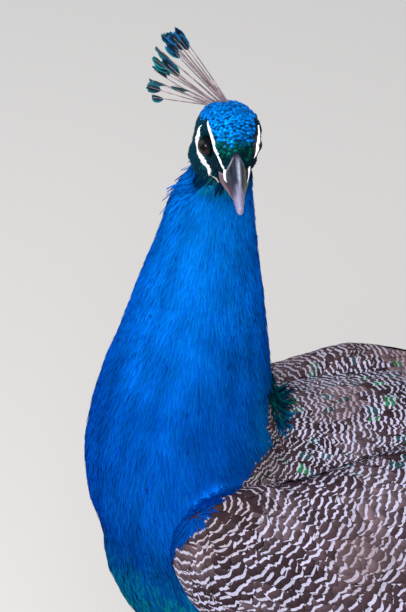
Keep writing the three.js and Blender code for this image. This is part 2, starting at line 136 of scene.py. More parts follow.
def around_ring(n):
    """n even angles round a circle, in radians."""
    return np.linspace(0, 2 * math.pi, n, endpoint=False)


def pairs(a, b):
    """Two arrays, broadcast, as the two numbers of each place in a map."""
    return np.stack(np.broadcast_arrays(a, b), -1)


def ring_quads(n, around):
    """The faces between n rings of `around` points each."""
    i, j = np.meshgrid(np.arange(n - 1), np.arange(around), indexing="ij")
    k = (j + 1) % around
    quads = np.stack([i * around + j, i * around + k, (i + 1) * around + k, (i + 1) * around + j], -1)
    return quads.reshape(-1, 4)


def sheet_quads(rows, cols):
    """The faces of a sheet with rows + 1 by cols + 1 points."""
    i, j = np.meshgrid(np.arange(rows), np.arange(cols), indexing="ij")
    k = (i * (cols + 1) + j).ravel()
    return np.stack([k, k + 1, k + cols + 2, k + cols + 1], -1)


def mesh_object(name, verts, faces, material=None):
    """An object from arrays: verts (n, 3) in metres, faces (m, 4) or (m, 3)."""
    faces = np.asarray(faces, np.int32)
    me = bpy.data.meshes.new(name)
    me.vertices.add(len(verts))
    me.vertices.foreach_set("co", np.asarray(verts, np.float32).ravel())
    me.loops.add(faces.size)
    me.loops.foreach_set("vertex_index", faces.ravel())
    me.polygons.add(len(faces))
    me.polygons.foreach_set("loop_start", np.arange(0, faces.size, faces.shape[1], dtype=np.int32))
    me.update(calc_edges=True)
    me.polygons.foreach_set("use_smooth", np.full(len(faces), True))
    if material:
        me.materials.append(material)
    ob = bpy.data.objects.new(name, me)
    bpy.context.scene.collection.objects.link(ob)
    return ob


def corner_colours(ob, colours):
    """colours: (loops, 3) linear, kept as the attribute that the materials read."""
    layer = ob.data.color_attributes.new("Tint", "FLOAT_COLOR", "CORNER")
    rgba = np.ones((len(colours), 4), np.float32)
    rgba[:, :3] = np.clip(colours, 0, 1)
    layer.data.foreach_set("color", rgba.ravel())


def bake_map(ob, uv):
    """Gives every corner its place in the OFBake map."""
    layer = ob.data.uv_layers.new(name="OFBake")
    layer.data.foreach_set("uv", np.asarray(uv, np.float32).ravel())


def done(ob, slot_name, *replaced):
    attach(ob, "root")
    if replaced:
        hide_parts(*replaced)
    return ob


def piece(name, verts, quads, material, colours, slot_name, *replaced):
    """A whole piece with one colour for each of its four-sided faces."""
    ob = mesh_object(name, verts, quads, material)
    corner_colours(ob, np.repeat(colours, 4, axis=0))
    return done(ob, slot_name, *replaced)


def tube(path, radii, around, squash=1.0):
    """A tube along path (n, 3), open at its ends, as verts and quads."""
    path = np.asarray(path, float)
    tangent = unit(np.gradient(path, axis=0))
    ref = np.array([0.0, 0.0, 1.0]) if abs(tangent[0][2]) < 0.9 else np.array([1.0, 0.0, 0.0])
    side = unit(np.cross(tangent, ref))
    up = unit(np.cross(side, tangent))
    a = around_ring(around)
    radii = np.broadcast_to(np.asarray(radii, float), len(path))
    ring = (
        path[:, None]
        + radii[:, None, None] * np.cos(a)[None, :, None] * side[:, None]
        + radii[:, None, None] * squash * np.sin(a)[None, :, None] * up[:, None]
    )
    return ring.reshape(-1, 3), ring_quads(len(path), around)


def between(a, b, c, d, f):
    """Catmull-Rom from b to c, with f from 0 to 1."""
    return 0.5 * (2 * b + (c - a) * f + (2 * a - 5 * b + 4 * c - d) * f**2 + (3 * b - a - 3 * c + d) * f**3)


def spline(points, n):
    """A smooth line through points, read at n places."""
    p = np.asarray(points, float)
    p = np.vstack([2 * p[0] - p[1], p, 2 * p[-1] - p[-2]])
    t = np.linspace(0, len(p) - 3 - 1e-9, n)
    k = t.astype(int)
    return between(p[k], p[k + 1], p[k + 2], p[k + 3], (t - k)[:, None])


# ---- materials
def set_inputs(node, **values):
    """Sets a node's inputs by name, with _ for each space."""
    for name, value in values.items():
        node.inputs[name.replace("_", " ")].default_value = value
    return node


def new_material(name):
    m = bpy.data.materials.new(name)
    m.use_nodes = True
    nt = m.node_tree
    return m, nt, nt.nodes["Principled BSDF"]


def tinted(name, rough=0.5, metal=0.0, spec=0.5, speck=0.25, speck_scale=900.0, bump=0.15, coat=0.0,
           coat_rough=0.03, edge=(1, 1, 1)):
    """A material that takes its colour from the Tint attribute, with fine mottling and relief."""
    m, nt, b = new_material(name)
    link = nt.links.new
    tint = nt.nodes.new("ShaderNodeVertexColor")
    tint.layer_name = "Tint"
    noise = set_inputs(nt.nodes.new("ShaderNodeTexNoise"), Scale=speck_scale, Detail=3)
    link(nt.nodes.new("ShaderNodeTexCoord").outputs["Object"], noise.inputs["Vector"])
    shade = set_inputs(nt.nodes.new("ShaderNodeMapRange"), From_Min=0.3, From_Max=0.7, To_Min=1 - speck,
                       To_Max=1 + speck * 0.6)
    link(noise.outputs["Fac"], shade.inputs["Value"])
    mul = nt.nodes.new("ShaderNodeVectorMath")
    mul.operation = "MULTIPLY"
    link(tint.outputs["Color"], mul.inputs[0])
    link(shade.outputs["Result"], mul.inputs[1])
    link(mul.outputs["Vector"], b.inputs["Base Color"])
    relief = set_inputs(nt.nodes.new("ShaderNodeBump"), Strength=bump, Distance=RELIEF)
    link(noise.outputs["Fac"], relief.inputs["Height"])
    link(relief.outputs["Normal"], b.inputs["Normal"])
    set_inputs(b, Roughness=rough, Metallic=metal, Specular_IOR_Level=spec, Specular_Tint=(*edge, 1),
               Coat_Weight=coat, Coat_Roughness=coat_rough)
    return m


RELIEF = 0.0006  # metres
BLUE_SHEEN = (0.1, 0.35, 1.0)  # what blue feathers reflect at a glancing angle
MAT_SKIN = tinted("skin", rough=0.8, speck=0.3, spec=0.05)
MAT_BLUE = tinted("blue_feather", rough=0.48, metal=0.55, spec=0.0, speck=0.12, speck_scale=1500, bump=0.05,
                  edge=BLUE_SHEEN)
MAT_CROWN = tinted("crown_feather", rough=0.45, metal=0.5, spec=0.03, speck=0.15, speck_scale=1500, bump=0.05,
                   edge=BLUE_SHEEN)
MAT_FACE = tinted("face_feather", rough=0.6, metal=0.15, spec=0.02, speck=0.15, speck_scale=1500, bump=0.05)
MAT_BARRED = tinted("barred_feather", rough=0.75, spec=0.12, speck=0.22, speck_scale=1300)
MAT_GREEN = tinted("green_feather", rough=0.45, metal=0.5, spec=0.1, speck=0.25, speck_scale=1200)
MAT_TRAIN = tinted("train_feather", rough=0.42, metal=0.5, spec=0.1, speck=0.25, speck_scale=1000)
MAT_QUILL = tinted("quill_feather", rough=0.5, spec=0.4, speck=0.25, speck_scale=800)
MAT_DOWN = tinted("down_feather", rough=0.85, spec=0.1, speck=0.3, speck_scale=900)
MAT_CREST = tinted("crest_feather", rough=0.45, metal=0.3, spec=0.2, speck=0.2, speck_scale=1500)
MAT_HORN = tinted("horn", rough=0.4, spec=0.1, coat=0.1, speck=0.2, speck_scale=600, bump=0.06)
MAT_BARE = tinted("bare_skin", rough=0.6, spec=0.25, speck=0.1, speck_scale=1800, bump=0.2)
MAT_LID = tinted("eyelid", rough=0.7, spec=0.05, speck=0.2, speck_scale=2200, bump=0.2)
MAT_SCALES = tinted("leg_scale", rough=0.5, spec=0.4, speck=0.25, speck_scale=700, bump=0.2)
MAT_EYE = tinted("eye", rough=0.05, spec=0.12, speck=0.12, speck_scale=2500, bump=0.0, coat=0.12,
                 coat_rough=0.02)

# ---- the skin
FLESH = ["head", "neck_upper", "neck_lower", "trunk", "thigh_left", "thigh_right", "wing_left", "wing_right"]
HEAD, NECK_TRUNK, TRUNK, THIGHS, WINGS = 0, (1, 2, 3), 3, (4, 5), 6  # places in FLESH, wings from 6 on


def mesh_arrays(me):
    me.calc_loop_triangles()
    co = np.zeros(len(me.vertices) * 3)
    me.vertices.foreach_get("co", co)
    tri = np.zeros(len(me.loop_triangles) * 3, np.int32)
    me.loop_triangles.foreach_get("vertices", tri)
    return co.reshape(-1, 3), tri.reshape(-1, 3)


def node_arrays(names):
    """The named CAD solids' vertices and triangles in one, and for each triangle its place in names."""
    parts = [mesh_arrays(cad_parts[n].data) for n in names]
    first = np.cumsum([0] + [len(v) for v, _ in parts])
    faces = [tri + start for (_, tri), start in zip(parts, first)]
    tags = [np.full(len(tri), k) for k, (_, tri) in enumerate(parts)]
    return np.vstack([v for v, _ in parts]), np.vstack(faces), np.concatenate(tags)


def remeshed(name, verts, faces, voxel, factor, rounds):
    """One even closed surface round the given solids, smoothed: verts in metres and triangles."""
    ob = mesh_object(name, verts, faces)
    mod = ob.modifiers.new("voxels", "REMESH")
    mod.mode = "VOXEL"
    mod.voxel_size = voxel
    soft = ob.modifiers.new("soft", "SMOOTH")
    soft.factor = factor
    soft.iterations = rounds
    me = bpy.data.meshes.new_from_object(ob.evaluated_get(bpy.context.evaluated_depsgraph_get()))
    found = mesh_arrays(me)
    bpy.data.meshes.remove(me)
    bpy.data.objects.remove(ob)
    return found


def normals_of(v, tri):
    n = np.zeros_like(v)
    fn = np.cross(v[tri[:, 1]] - v[tri[:, 0]], v[tri[:, 2]] - v[tri[:, 0]])
    for k in range(3):
        np.add.at(n, tri[:, k], fn)
    return unit(n)


flesh_v, flesh_f, flesh_tag = node_arrays(FLESH)
flesh_tree = tree_of(flesh_v, flesh_f)
BODY_DEPTH, NECK_DEPTH, HEAD_DEPTH = 2.0, 1.4, 0.6  # mm of coat over the skin
SKIN_VOXEL = 0.0026  # metres


def flesh_part(points):
    """The flesh node nearest to each point, as its place in FLESH."""
    return np.array([flesh_tag[flesh_tree.find_nearest(Vector(p))[2]] for p in points])


def coat_depth(b):
    """How far the skin lies under the solids' surface at bird-mm points b, in mm."""
    on_head = 1 - smooth(np.linalg.norm(to_head(b) * [0.9, 1, 1], axis=1), 26, 44)
    neck = smooth(b[:, 2], 470, 520)
    depth = BODY_DEPTH * (1 - neck) + NECK_DEPTH * neck
    return depth * (1 - on_head) + HEAD_DEPTH * on_head


def dome(b, at, size):
    """1 at a bird-mm place, fading to 0 over about `size` mm (one number or one per axis)."""
    return np.exp(-((((b - at) / size) ** 2).sum(-1)))


def bell(x, at, width):
    """1 where x is `at`, fading to 0 over about `width` to each side."""
    return np.exp(-(((x - at) / width) ** 2))


def settle(b):
    """How the coat sits: fuller or closer to the body by a few millimetres than an even depth would be."""
    b = b.copy()
    h = to_head(b)
    # the breast, fuller in front
    ahead = smooth(b[:, 0], 60, 130)
    b[:, 0] += 3.0 * ahead * bell(b[:, 2], 446, 42)
    b[:, 0] += ahead * (1.5 * (1 - smooth(b[:, 2], 355, 385)) - 1.6 * bell(b[:, 2], 398, 16))
    # the throat, drawn back, and the two cheeks
    fold = dome(b, [129, 4, 650], [15, 18, 12])
    b[:, 0] -= 8.5 * fold
    b[:, 2] -= 9.0 * fold
    for at, move in (([-13, -18, -15], [0, -8.0, 0]), ([13, 13, -9], [0.5, 2.4, 0])):
        b += (HEAD_M @ np.array(move))[None] * dome(b, from_head(at), [11, 9, 8])[:, None]
    # the crown, flatter
    b[:, 2] -= 2.0 * smooth(h[:, 2], 4, 20) * (np.linalg.norm(h, axis=1) < 45)
    # the far shoulder, lower, and the back behind it, higher
    far = smooth(-b[:, 1], 44, 72) * smooth(b[:, 2], 405, 450)
    b[:, 2] -= 12.0 * far * smooth(b[:, 0], 2, 62)
    b[:, 2] += 3.0 * far * bell(b[:, 0], -15, 22)
    return b


def make_skin():
    v, tri = remeshed("skin_source", flesh_v, flesh_f, SKIN_VOXEL, 0.6, 8)
    v = v - normals_of(v, tri) * (coat_depth(to_bird(v)) * MM)[:, None]
    return bird(settle(to_bird(v))), tri


skin_v, skin_tri = make_skin()
skin_n = normals_of(skin_v, skin_tri)
skin_tree = tree_of(skin_v, skin_tri)
skin_b = to_bird(skin_v)
skin_part = flesh_part(skin_v)

# ---- the lie of the coat
# Points down the middle of the bird from the bill to the tail, in bird mm.
SPINE = np.vstack(
    [
        from_head([[30, 0, 2], [12, 0, 3], [-6, 0, 3], [-18, 0, -3]]),
        [[104, 9, 648], [107, 8, 632], [110, 6, 600], [114, 5, 565], [118, 3, 525], [121, 1, 485]],
        [[112, 0, 445], [90, 0, 412], [50, 0, 392], [0, 0, 382], [-80, 0, 378], [-200, 0, 372]],
    ]
)
SPINE_P = spline(SPINE, 90)
SPINE_T = unit(np.gradient(SPINE_P, axis=0))


def flat_to(t, n):
    """Directions t without their part along the normals n."""
    return t - n * (t * n).sum(-1)[..., None]


def lie(b, n):
    """Unit direction from root to tip of the feathers at bird-mm points b with normals n."""
    x, y, z = xyz(b)
    d2 = ((b[:, None] - SPINE_P[None]) ** 2).sum(2)
    spread = 2 * (0.35 * np.sqrt(d2.min(1))[:, None] + 9) ** 2
    w = np.exp(-d2 / spread + d2.min(1)[:, None] / spread)
    t = (w[..., None] * SPINE_T[None]).sum(1)
    # on the wings: back, and down more steeply towards the front
    wing = smooth(np.abs(y), 62, 84) * smooth(z, 300, 330) * (1 - smooth(x, 150, 175))
    wing *= 1 - smooth(z, 465, 500)
    drop = np.interp(x, [-120, -20, 40, 90, 135], [0.18, 0.42, 0.95, 1.5, 2.1])
    drop = drop * (1 - 0.35 * smooth(z, 440, 468))
    back = unit(np.stack([-np.ones(len(b)), 0.0 * drop, -0.08 - drop], 1))
    # at the foot of the neck: fanned out over the back
    away = b[:, :2] - [122, 0]
    fan = (1 - smooth(np.linalg.norm(away, axis=1), 80, 205)) * smooth(z, 425, 445)
    fan = fan * (1 - smooth(z, 472, 484)) * ((1 - wing) * (x < 88))
    t = unit(t) * (1 - fan)[:, None] + np.hstack([unit(away), -0.1 + 0 * away[:, :1]]) * fan[:, None]
    t = unit(t) * (1 - wing)[:, None] + back * wing[:, None]
    # on the thighs: down
    legs = smooth(-z, -318, -280) * (np.abs(y) < 95) * (1 - wing) * 0.8
    t = t * (1 - legs)[:, None] + np.array([-0.25, 0, -0.95]) * legs[:, None]
    return unit(flat_to(t, n))


def along_lie(b, n, pace):
    """A number at each bird-mm point that grows by about 1 for every `pace` mm along the lie."""
    t, m = lie(b, n), len(b)
    d2 = ((b**2).sum(1)[:, None] + (b**2).sum(1)[None] - 2 * b @ b.T) + np.eye(m) * 1e9
    i, j = np.repeat(np.arange(m), 6), np.argpartition(d2, 6, axis=1)[:, :6].ravel()
    step = ((b[j] - b[i]) * (t[i] + t[j])).sum(1) / (pace[i] + pace[j])
    grid, want = np.eye(m) * 1e-6, np.zeros(m)
    for p, q, sign in ((i, i, 1), (j, j, 1), (i, j, -1), (j, i, -1)):
        np.add.at(grid, (p, q), sign)
    np.add.at(want, j, step)
    np.add.at(want, i, -step)
    return np.linalg.solve(grid, want)


CROWD = 6.0  # points tried for each one that could be kept
NEIGHBOURS = list(itertools.product((-1, 0, 1), repeat=3))


def scatter(mask, spacing, seed):
    """Points on the skin where mask(bird, part) is true: their bird-mm positions and normals.

    They are about `spacing` mm apart, a number or a function of the bird-mm point.
    """
    gap = spacing if callable(spacing) else lambda b: np.full(len(b), spacing)
    r = seeded(seed)
    tri = skin_tri
    a, b, c = skin_v[tri[:, 0]], skin_v[tri[:, 1]], skin_v[tri[:, 2]]
    mid = to_bird((a + b + c) / 3)
    keep = mask(mid, skin_part[tri[:, 0]])
    tri, a, b, c, mid = tri[keep], a[keep], b[keep], c[keep], mid[keep]
    area = np.linalg.norm(np.cross(b - a, c - a), axis=1) / 2 / MM**2
    idx = np.repeat(np.arange(len(tri)), r.poisson(area / gap(mid) ** 2 * CROWD))
    u = r.random((len(idx), 2))
    flip = u.sum(1) > 1
    u[flip] = 1 - u[flip]
    p = a[idx] + (b[idx] - a[idx]) * u[:, :1] + (c[idx] - a[idx]) * u[:, 1:]
    w = np.stack([1 - u.sum(1), u[:, 0], u[:, 1]], 1)[..., None]
    n = unit((skin_n[tri[idx]] * w).sum(1))
    order = r.permutation(len(p))
    p, n = to_bird(p[order]), n[order]
    # of this crowd, each point is kept that has no kept one too near, found through a grid of cells
    reach = gap(p)
    cells = np.floor(p / float(reach.max())).astype(int)
    taken, chosen = {}, []
    for i, (q, near, (x, y, z)) in enumerate(zip(p, reach * reach * 0.72, cells)):
        others = (o for dx, dy, dz in NEIGHBOURS for o in taken.get((x + dx, y + dy, z + dz), ()))
        if all((o[0] - q[0]) ** 2 + (o[1] - q[1]) ** 2 + (o[2] - q[2]) ** 2 >= near for o in others):
            taken.setdefault((x, y, z), []).append(tuple(q))
            chosen.append(i)
    return p[chosen], n[chosen]


def drape(b, n, length, steps):
    """Walks each feather's middle line over the skin: points, normals and directions (n, steps + 1, 3)."""
    pts, nrm, tan = [b], [n], []
    p, m = b.copy(), n.copy()
    t = lie(p, m)
    step = (length / steps)[:, None]
    for _ in range(steps):
        hit = [skin_tree.find_nearest(Vector(x)) for x in bird(p + t * step)]
        p = to_bird(np.array([h[0] for h in hit]))
        m = unit(np.array([h[1] for h in hit]) + 1.5 * m)  # a soft turn, so that the vane doesn't kink
        tan.append(t)
        t = unit(0.6 * unit(flat_to(t, m)) + 0.4 * lie(p, m))
        pts.append(p)
        nrm.append(m)
    tan.append(t)
    return np.stack(pts, 1), np.stack(nrm, 1), np.stack(tan, 1)


def sample(line, s):
    """Reads polylines (m, k, 3) at the fractions s (m, ...) of their length, straight on past the end."""
    k = line.shape[1] - 1
    x = np.clip(s, 0, 1.2) * k
    i = np.minimum(x.astype(int), k - 1)
    f = (x - i)[..., None]
    m = np.arange(len(line)).reshape((-1,) + (1,) * (s.ndim - 1))
    return line[m, i] * (1 - f) + line[m, i + 1] * f


# Outlines of a vane: its half-width at the places v from root to tip, as a share of the full one.
def round_form(v):
    return np.sqrt(np.clip(1 - (1.3 * v - 0.35) ** 2 * 1.1, 0.03, 1))


def blunt_form(v):
    return np.interp(v, [0, 0.3, 0.75, 0.9, 1], [0.75, 1, 0.98, 0.85, 0.5])


def scale_form(v):
    return np.interp(v, [0, 0.5, 0.8, 1], [0.7, 1, 0.97, 0.7])


def hackle_form(v):
    return (0.6 + 0.4 * np.minimum(v * 4, 1)) * (1 - 0.55 * np.clip(v, 0, 1) ** 3)


def places(values, first):
    """Places along or across a vane, from `first` to 1: as given, or that number of them evenly spaced."""
    return np.linspace(first, 1, values) if isinstance(values, int) else np.asarray(values, float)


class Coat:
    """One coat piece: joined vanes, their colours, normals and the OFBake map."""

    def __init__(self, name, material, soft):
        self.name, self.material, self.soft = name, material, soft
        self.v, self.f, self.c, self.uv, self.n, self.count = [], [], [], [], [], 0

    def grid(self, p, colour, corner_uv, smooth_n=None):
        """Vanes as grids: p (m, rows + 1, cols + 1, 3) in bird mm, colour (m, rows, cols, 3), uv like p.

        A colour of shape (m, rows, cols, 2, 3) runs from the root's side of each face to its tip's side.
        """
        m, rows, cols = p.shape[0], p.shape[1] - 1, p.shape[2] - 1
        quad = sheet_quads(rows, cols)
        base = (np.arange(m) * (rows + 1) * (cols + 1))[:, None, None] + self.count
        self.f.append((quad[None] + base).reshape(-1, 4))
        self.v.append(p.reshape(-1, 3))
        self.count += m * (rows + 1) * (cols + 1)
        n = unit(np.cross(np.gradient(p, axis=2), np.gradient(p, axis=1)))
        if smooth_n is not None:
            n = n * np.sign((n * smooth_n).sum(-1, keepdims=True) + 1e-9)
            n = unit(n * (1 - self.soft) + smooth_n * self.soft)
        self.n.append(n.reshape(-1, 3))
        if colour.ndim == 4:
            colour = colour[..., None, :]
        ends = np.broadcast_to(colour, (m, rows, cols, 2, 3))
        self.c.append(ends[..., [0, 0, 1, 1], :].reshape(-1, 3))
        uv = np.broadcast_to(corner_uv, (m, rows + 1, cols + 1, 2)).reshape(m, -1, 2)
        self.uv.append(uv[:, quad.ravel()].reshape(-1, 2))

    def add(self, b, n, length, width, colour, unwrap, rows, cols, jag=0.0, form=round_form, lift=(0.25, 1.6),
            camber=0.18, twist=0.0, scallop=0.12, seed=0, stray=0.25):
        """Vanes rooted at bird-mm b, length and width in mm.

        rows: places along the vane, one list for all or (m, rows + 1). cols: places across it.
        jag shifts the rows, lift is the rise over the skin at root and tip, camber rounds the vane,
        scallop draws its edges back, and twist and stray are how much vanes differ.
        """
        m = len(b)
        r = seeded(seed)
        length, width = (np.broadcast_to(x, m).astype(float) for x in (length, width))
        rows, cols = places(rows, 0), places(cols, -1)
        rows = np.broadcast_to(rows, (m, rows.shape[-1]))
        pts, nrm, tan = drape(b, n, length, DRAPE_STEPS)
        v = rows[:, :, None] * (1 - scallop * cols**2)[None, None] + jag
        q, k, t = sample(pts, v), unit(sample(nrm, v)), unit(sample(tan, v))
        side = unit(np.cross(t, k))
        if twist:
            a = r.normal(0, twist, m)[:, None, None, None]
            side = unit(side * np.cos(a) + k * np.sin(a))
        half = (width / 2)[:, None] * form(rows)
        rise = lift[0] + (lift[1] - lift[0]) * np.clip(rows, 0, 1) ** 1.2
        rise = rise * (1 + stray * r.normal(size=(m, 1))).clip(0.5, 1.8)
        out = rise[..., None] - camber * half[..., None] * cols[None, None] ** 2
        p = q + side * (half[..., None] * cols[None, None])[..., None] + k * out[..., None]
        vm = (rows[:, :-1] + rows[:, 1:])[:, :, None] / 2 + 0 * cols[None, None, 1:]
        um = 0 * vm + mids(cols)[None, None]
        tint = colour(b[:, None, None, :], vm, um, r.random((m, 1, 1, 4)), r)
        spot = pairs(cols[None, None] / 2, np.clip(rows, 0, 1)[:, :, None] - 0.5)
        cell = unwrap(b)[:, None, None, :] + PATCH_SIZE * spot
        self.grid(p, tint, cell, unit(k + 0.35 * side * cols[None, None, :, None]))

    def finish(self, slot_name, *replaced):
        ob = mesh_object(self.name, bird(np.vstack(self.v)), np.vstack(self.f), self.material)
        corner_colours(ob, np.vstack(self.c))
        bake_map(ob, np.vstack(self.uv))
        if self.soft > 0:
            ob.data.normals_split_custom_set_from_vertices(np.vstack(self.n).astype(np.float32))
        return done(ob, slot_name, *replaced)


DRAPE_STEPS = 4
PATCH_SIZE = 0.003  # across one feather's patch in the OFBake map


def lay(name, material, slot_name, soft, mask, spacing, scatter_seed, *feather, **how):
    """A whole coat piece: one kind of feather scattered over the skin where mask is true.

    feather is what Coat.add takes after its points: length, width, colour, unwrap, rows and cols.
    """
    coat = Coat(name, material, soft)
    coat.add(*scatter(mask, spacing, scatter_seed), *feather, **how)
    return coat.finish(slot_name)


# Unwraps of the skin's own shape: round the neck and trunk, over the head, and along the body and wings.
def unwrapped(turn, share):
    """A place in the map from a turn round the middle, in radians, and a share of the way along it."""
    return np.stack([0.02 + 0.96 * (turn / (2 * math.pi) + 0.5), 0.02 + 0.96 * share], 1)


def unwrap_neck(b):
    x, y, z = xyz(b)
    middle = np.interp(z, [400, 485, 600, 660], [90, 121, 110, 103])
    return unwrapped(np.arctan2(y, x - middle), (z - 250) / 430)


def unwrap_head(b):
    h = to_head(b)
    hx, hy, hz = xyz(h)
    return unwrapped(np.arctan2(hy, hz), np.clip((hx + 40) / 80, 0, 1))


def unwrap_body(b):
    x, y, z = xyz(b)
    return unwrapped(np.arctan2(y, z - 380), (x + 340) / 540)


# ---- markings, shared by skin and coat
INK, DARK_TEAL = rgb("#041a26"), rgb("#064a58")
CROWN, CROWN_GREEN = rgb("#0284ee"), rgb("#04745f")
BAR_PALE, BAR_DARK, BAR_TAUPE = rgb("#b4b3cc"), rgb("#32232a"), rgb("#5c4c54")
BELLY, BUFF = rgb("#12201c"), rgb("#a8927a")
WHITE = rgb("#eef0f2")
# The neck and breast from the chin down: heights in mm and the colour there.
BLUE_Z = [330, 370, 402, 458, 508, 565, 620, 660]
BLUE_C = np.array([rgb(c) for c in ("#065a66", "#055580", "#034894", "#0250b0", "#0153b8", "#026dda",
                                    "#0272d8", "#0262b8")])


def neck_angle(b):
    """Degrees round the neck's middle line, 0 straight ahead and 90 to the bird's left."""
    x, y, z = xyz(b)
    cx = np.interp(z, [330, 400, 485, 600, 660], [60, 92, 121, 110, 103])
    cy = np.interp(z, [400, 600, 660], [0, 6, 14])
    return np.degrees(np.arctan2(y - cy, x - cx))


def blue_at(b):
    """Neck and breast: azure above, cobalt in the middle, blue-green low down and beside the mantle."""
    z = b[..., 2]
    c = np.stack([np.interp(z, BLUE_Z, channel) for channel in BLUE_C.T], -1)
    c = c * (1 + 0.12 * wave(b, 34, 3) + 0.10 * wave(b * [1, 1, 0.5], 11, 4))[..., None]
    turn = neck_angle(b)
    # painted shade: the blue is darker or lighter by the turn round the neck (neck_angle), as light and shade
    # fall on it
    even = 0.98 - 0.13 * smooth(turn, 60, 80) + 0.14 * smooth(turn, 105, 135)
    c = c * (even - 0.07 * smooth(52 - turn, 0, 30))[..., None]
    rear = smooth(np.abs(turn), 105, 150) * (1 - smooth(z, 470, 560))
    c = mix(c, "#046c9c", 0.8 * rear)
    c = mix(c, "#0a7a78", 0.5 * smooth(wave(b, 40, 6), 0.45, 0.9) * (1 - smooth(z, 350, 420)))
    hx, _, hz = xyz(to_head(b))
    throat = smooth(-hz, 15, 19) * (1 - smooth(-hz, 22, 29)) * smooth(hx, -16, -5)
    return mix(c, mix("#01121a", "#045664", smooth(wave(b, 5, 8), 0.1, 0.7)), 0.95 * throat)


def skin_colour(b, part):
    x, _, z = xyz(b)
    c = blue_at(b)
    h = to_head(b)
    head = part == HEAD
    c[head] = mix(DARK_TEAL, "#04306a", smooth(h[head][:, 2], 6, 12))
    c[part >= WINGS] = BAR_DARK * 1.6
    trunk = part == TRUNK
    c[trunk & (x < 80) & (z > 400)] = BAR_DARK * 1.4
    c[trunk & (x < 60) & (z <= 400)] = BELLY
    c[np.isin(part, THIGHS)] = BUFF * 0.4
    return c * 0.6


skin = mesh_object("skin", skin_v, skin_tri, MAT_SKIN)
corner_colours(skin, skin_colour(skin_b, skin_part)[skin_tri.ravel()])
_uv = np.where((skin_b[:, 2] > 480)[:, None], unwrap_neck(skin_b), unwrap_body(skin_b))
bake_map(skin, _uv[skin_tri.ravel()])
done(skin, "blue_plumage", *FLESH)

# ---- bare white stripes of the face
# Middle lines in the head's frame for the left side (y is mirrored for the right), with half-widths in mm.
BROW = [[-3, 15.0, 15.5], [0, 14.6, 14.0], [5, 13.6, 11.6], [10, 12.4, 8.6], [14.5, 11.4, 4.9],
        [18.1, 9.8, 2.0], [20.2, 8.9, -0.8], [23.4, 9.2, -5.2]]
BROW_LEFT = [[0.5, 15.8, 12.2], [2.8, 15.7, 10.4], [4.8, 15.7, 8.9], [7.4, 15.2, 7.1], [9.8, 14.6, 5.2],
             [11.6, 14, 2.4], [13.4, 12.8, 0], [14.4, 12.2, -1.2]]
BROW_HALF = [0.2, 0.8, 1.2, 1.35, 1.25, 1.15, 1.1, 0.9]
BROW_LEFT_HALF = [0.1, 0.35, 0.45, 0.8, 1.2, 1.1, 0.5, 0.05]
LORE = [[18.6, 9.8, -1.2], [20.6, 9.2, -3.9], [22.8, 8.6, -6.2], [25, 7.9, -8], [27.4, 7.2, -9.4]]
LORE_LEFT = [[16.2, 10.9, -2.2], [17.6, 10.3, -4.6], [20, 9.3, -7.0], [24.5, 7.7, -8.4], [28, 6.7, -9.2]]
LORE_HALF, LORE_LEFT_HALF = [1.0, 1.2, 1.2, 0.9, 0.1], [0.15, 0.5, 0.7, 0.6, 0.1]
PATCH = [[-3.6, 18, 11], [-2.8, 19, 7.5], [-1.9, 19.3, 3.5], [-1.5, 19.2, 0], [-1.2, 18.6, -4.5],
         [0, 18, -8.5], [2.2, 16.5, -12], [4.0, 14.5, -15], [5.4, 12.2, -18.4]]
PATCH_HALF = [0.2, 1.0, 2.5, 3.3, 1.2, 4.8, 6.4, 4.4, 0.5]
PATCH_LEFT_HALF = [0.1, 0.1, 0.3, 1.6, 1.2, 4.8, 6.4, 4.4, 0.5]
GAPE = [[3.6, 12.4, -18], [5, 10, -19.2], [6.6, 7.6, -19.9], [8.4, 5.8, -21.4]]
GAPE_HALF = [0.2, 0.7, 0.9, 0.5]
SIDES = ((1, "left"), (-1, "right"))


def on_skin(points, lift, tree):
    """Head-frame points dropped on to a surface and raised by lift mm, back in bird mm."""
    hits = [tree.find_nearest(Vector(x)) for x in bird(from_head(points))]
    return to_bird(np.array([h[0] for h in hits])) + np.array([h[1] for h in hits]) * lift[..., None]


def stripe_distance(h):
    """How far outside the white stripes head-frame points lie, in mm (negative inside)."""
    q = np.stack([h[..., 0], np.abs(h[..., 1]), h[..., 2]], -1)
    best = np.full(h.shape[:-1], 99.0)
    for line, half in ((BROW, BROW_HALF), (PATCH, PATCH_HALF)):
        w = np.interp(np.linspace(0, 1, 50), np.linspace(0, 1, len(half)), half)
        for at, r in zip(spline(line, 50), w):
            d = (q - at) * [1, 0.6, 1]
            best = np.minimum(best, np.sqrt((d**2).sum(-1)) - r)
    return best


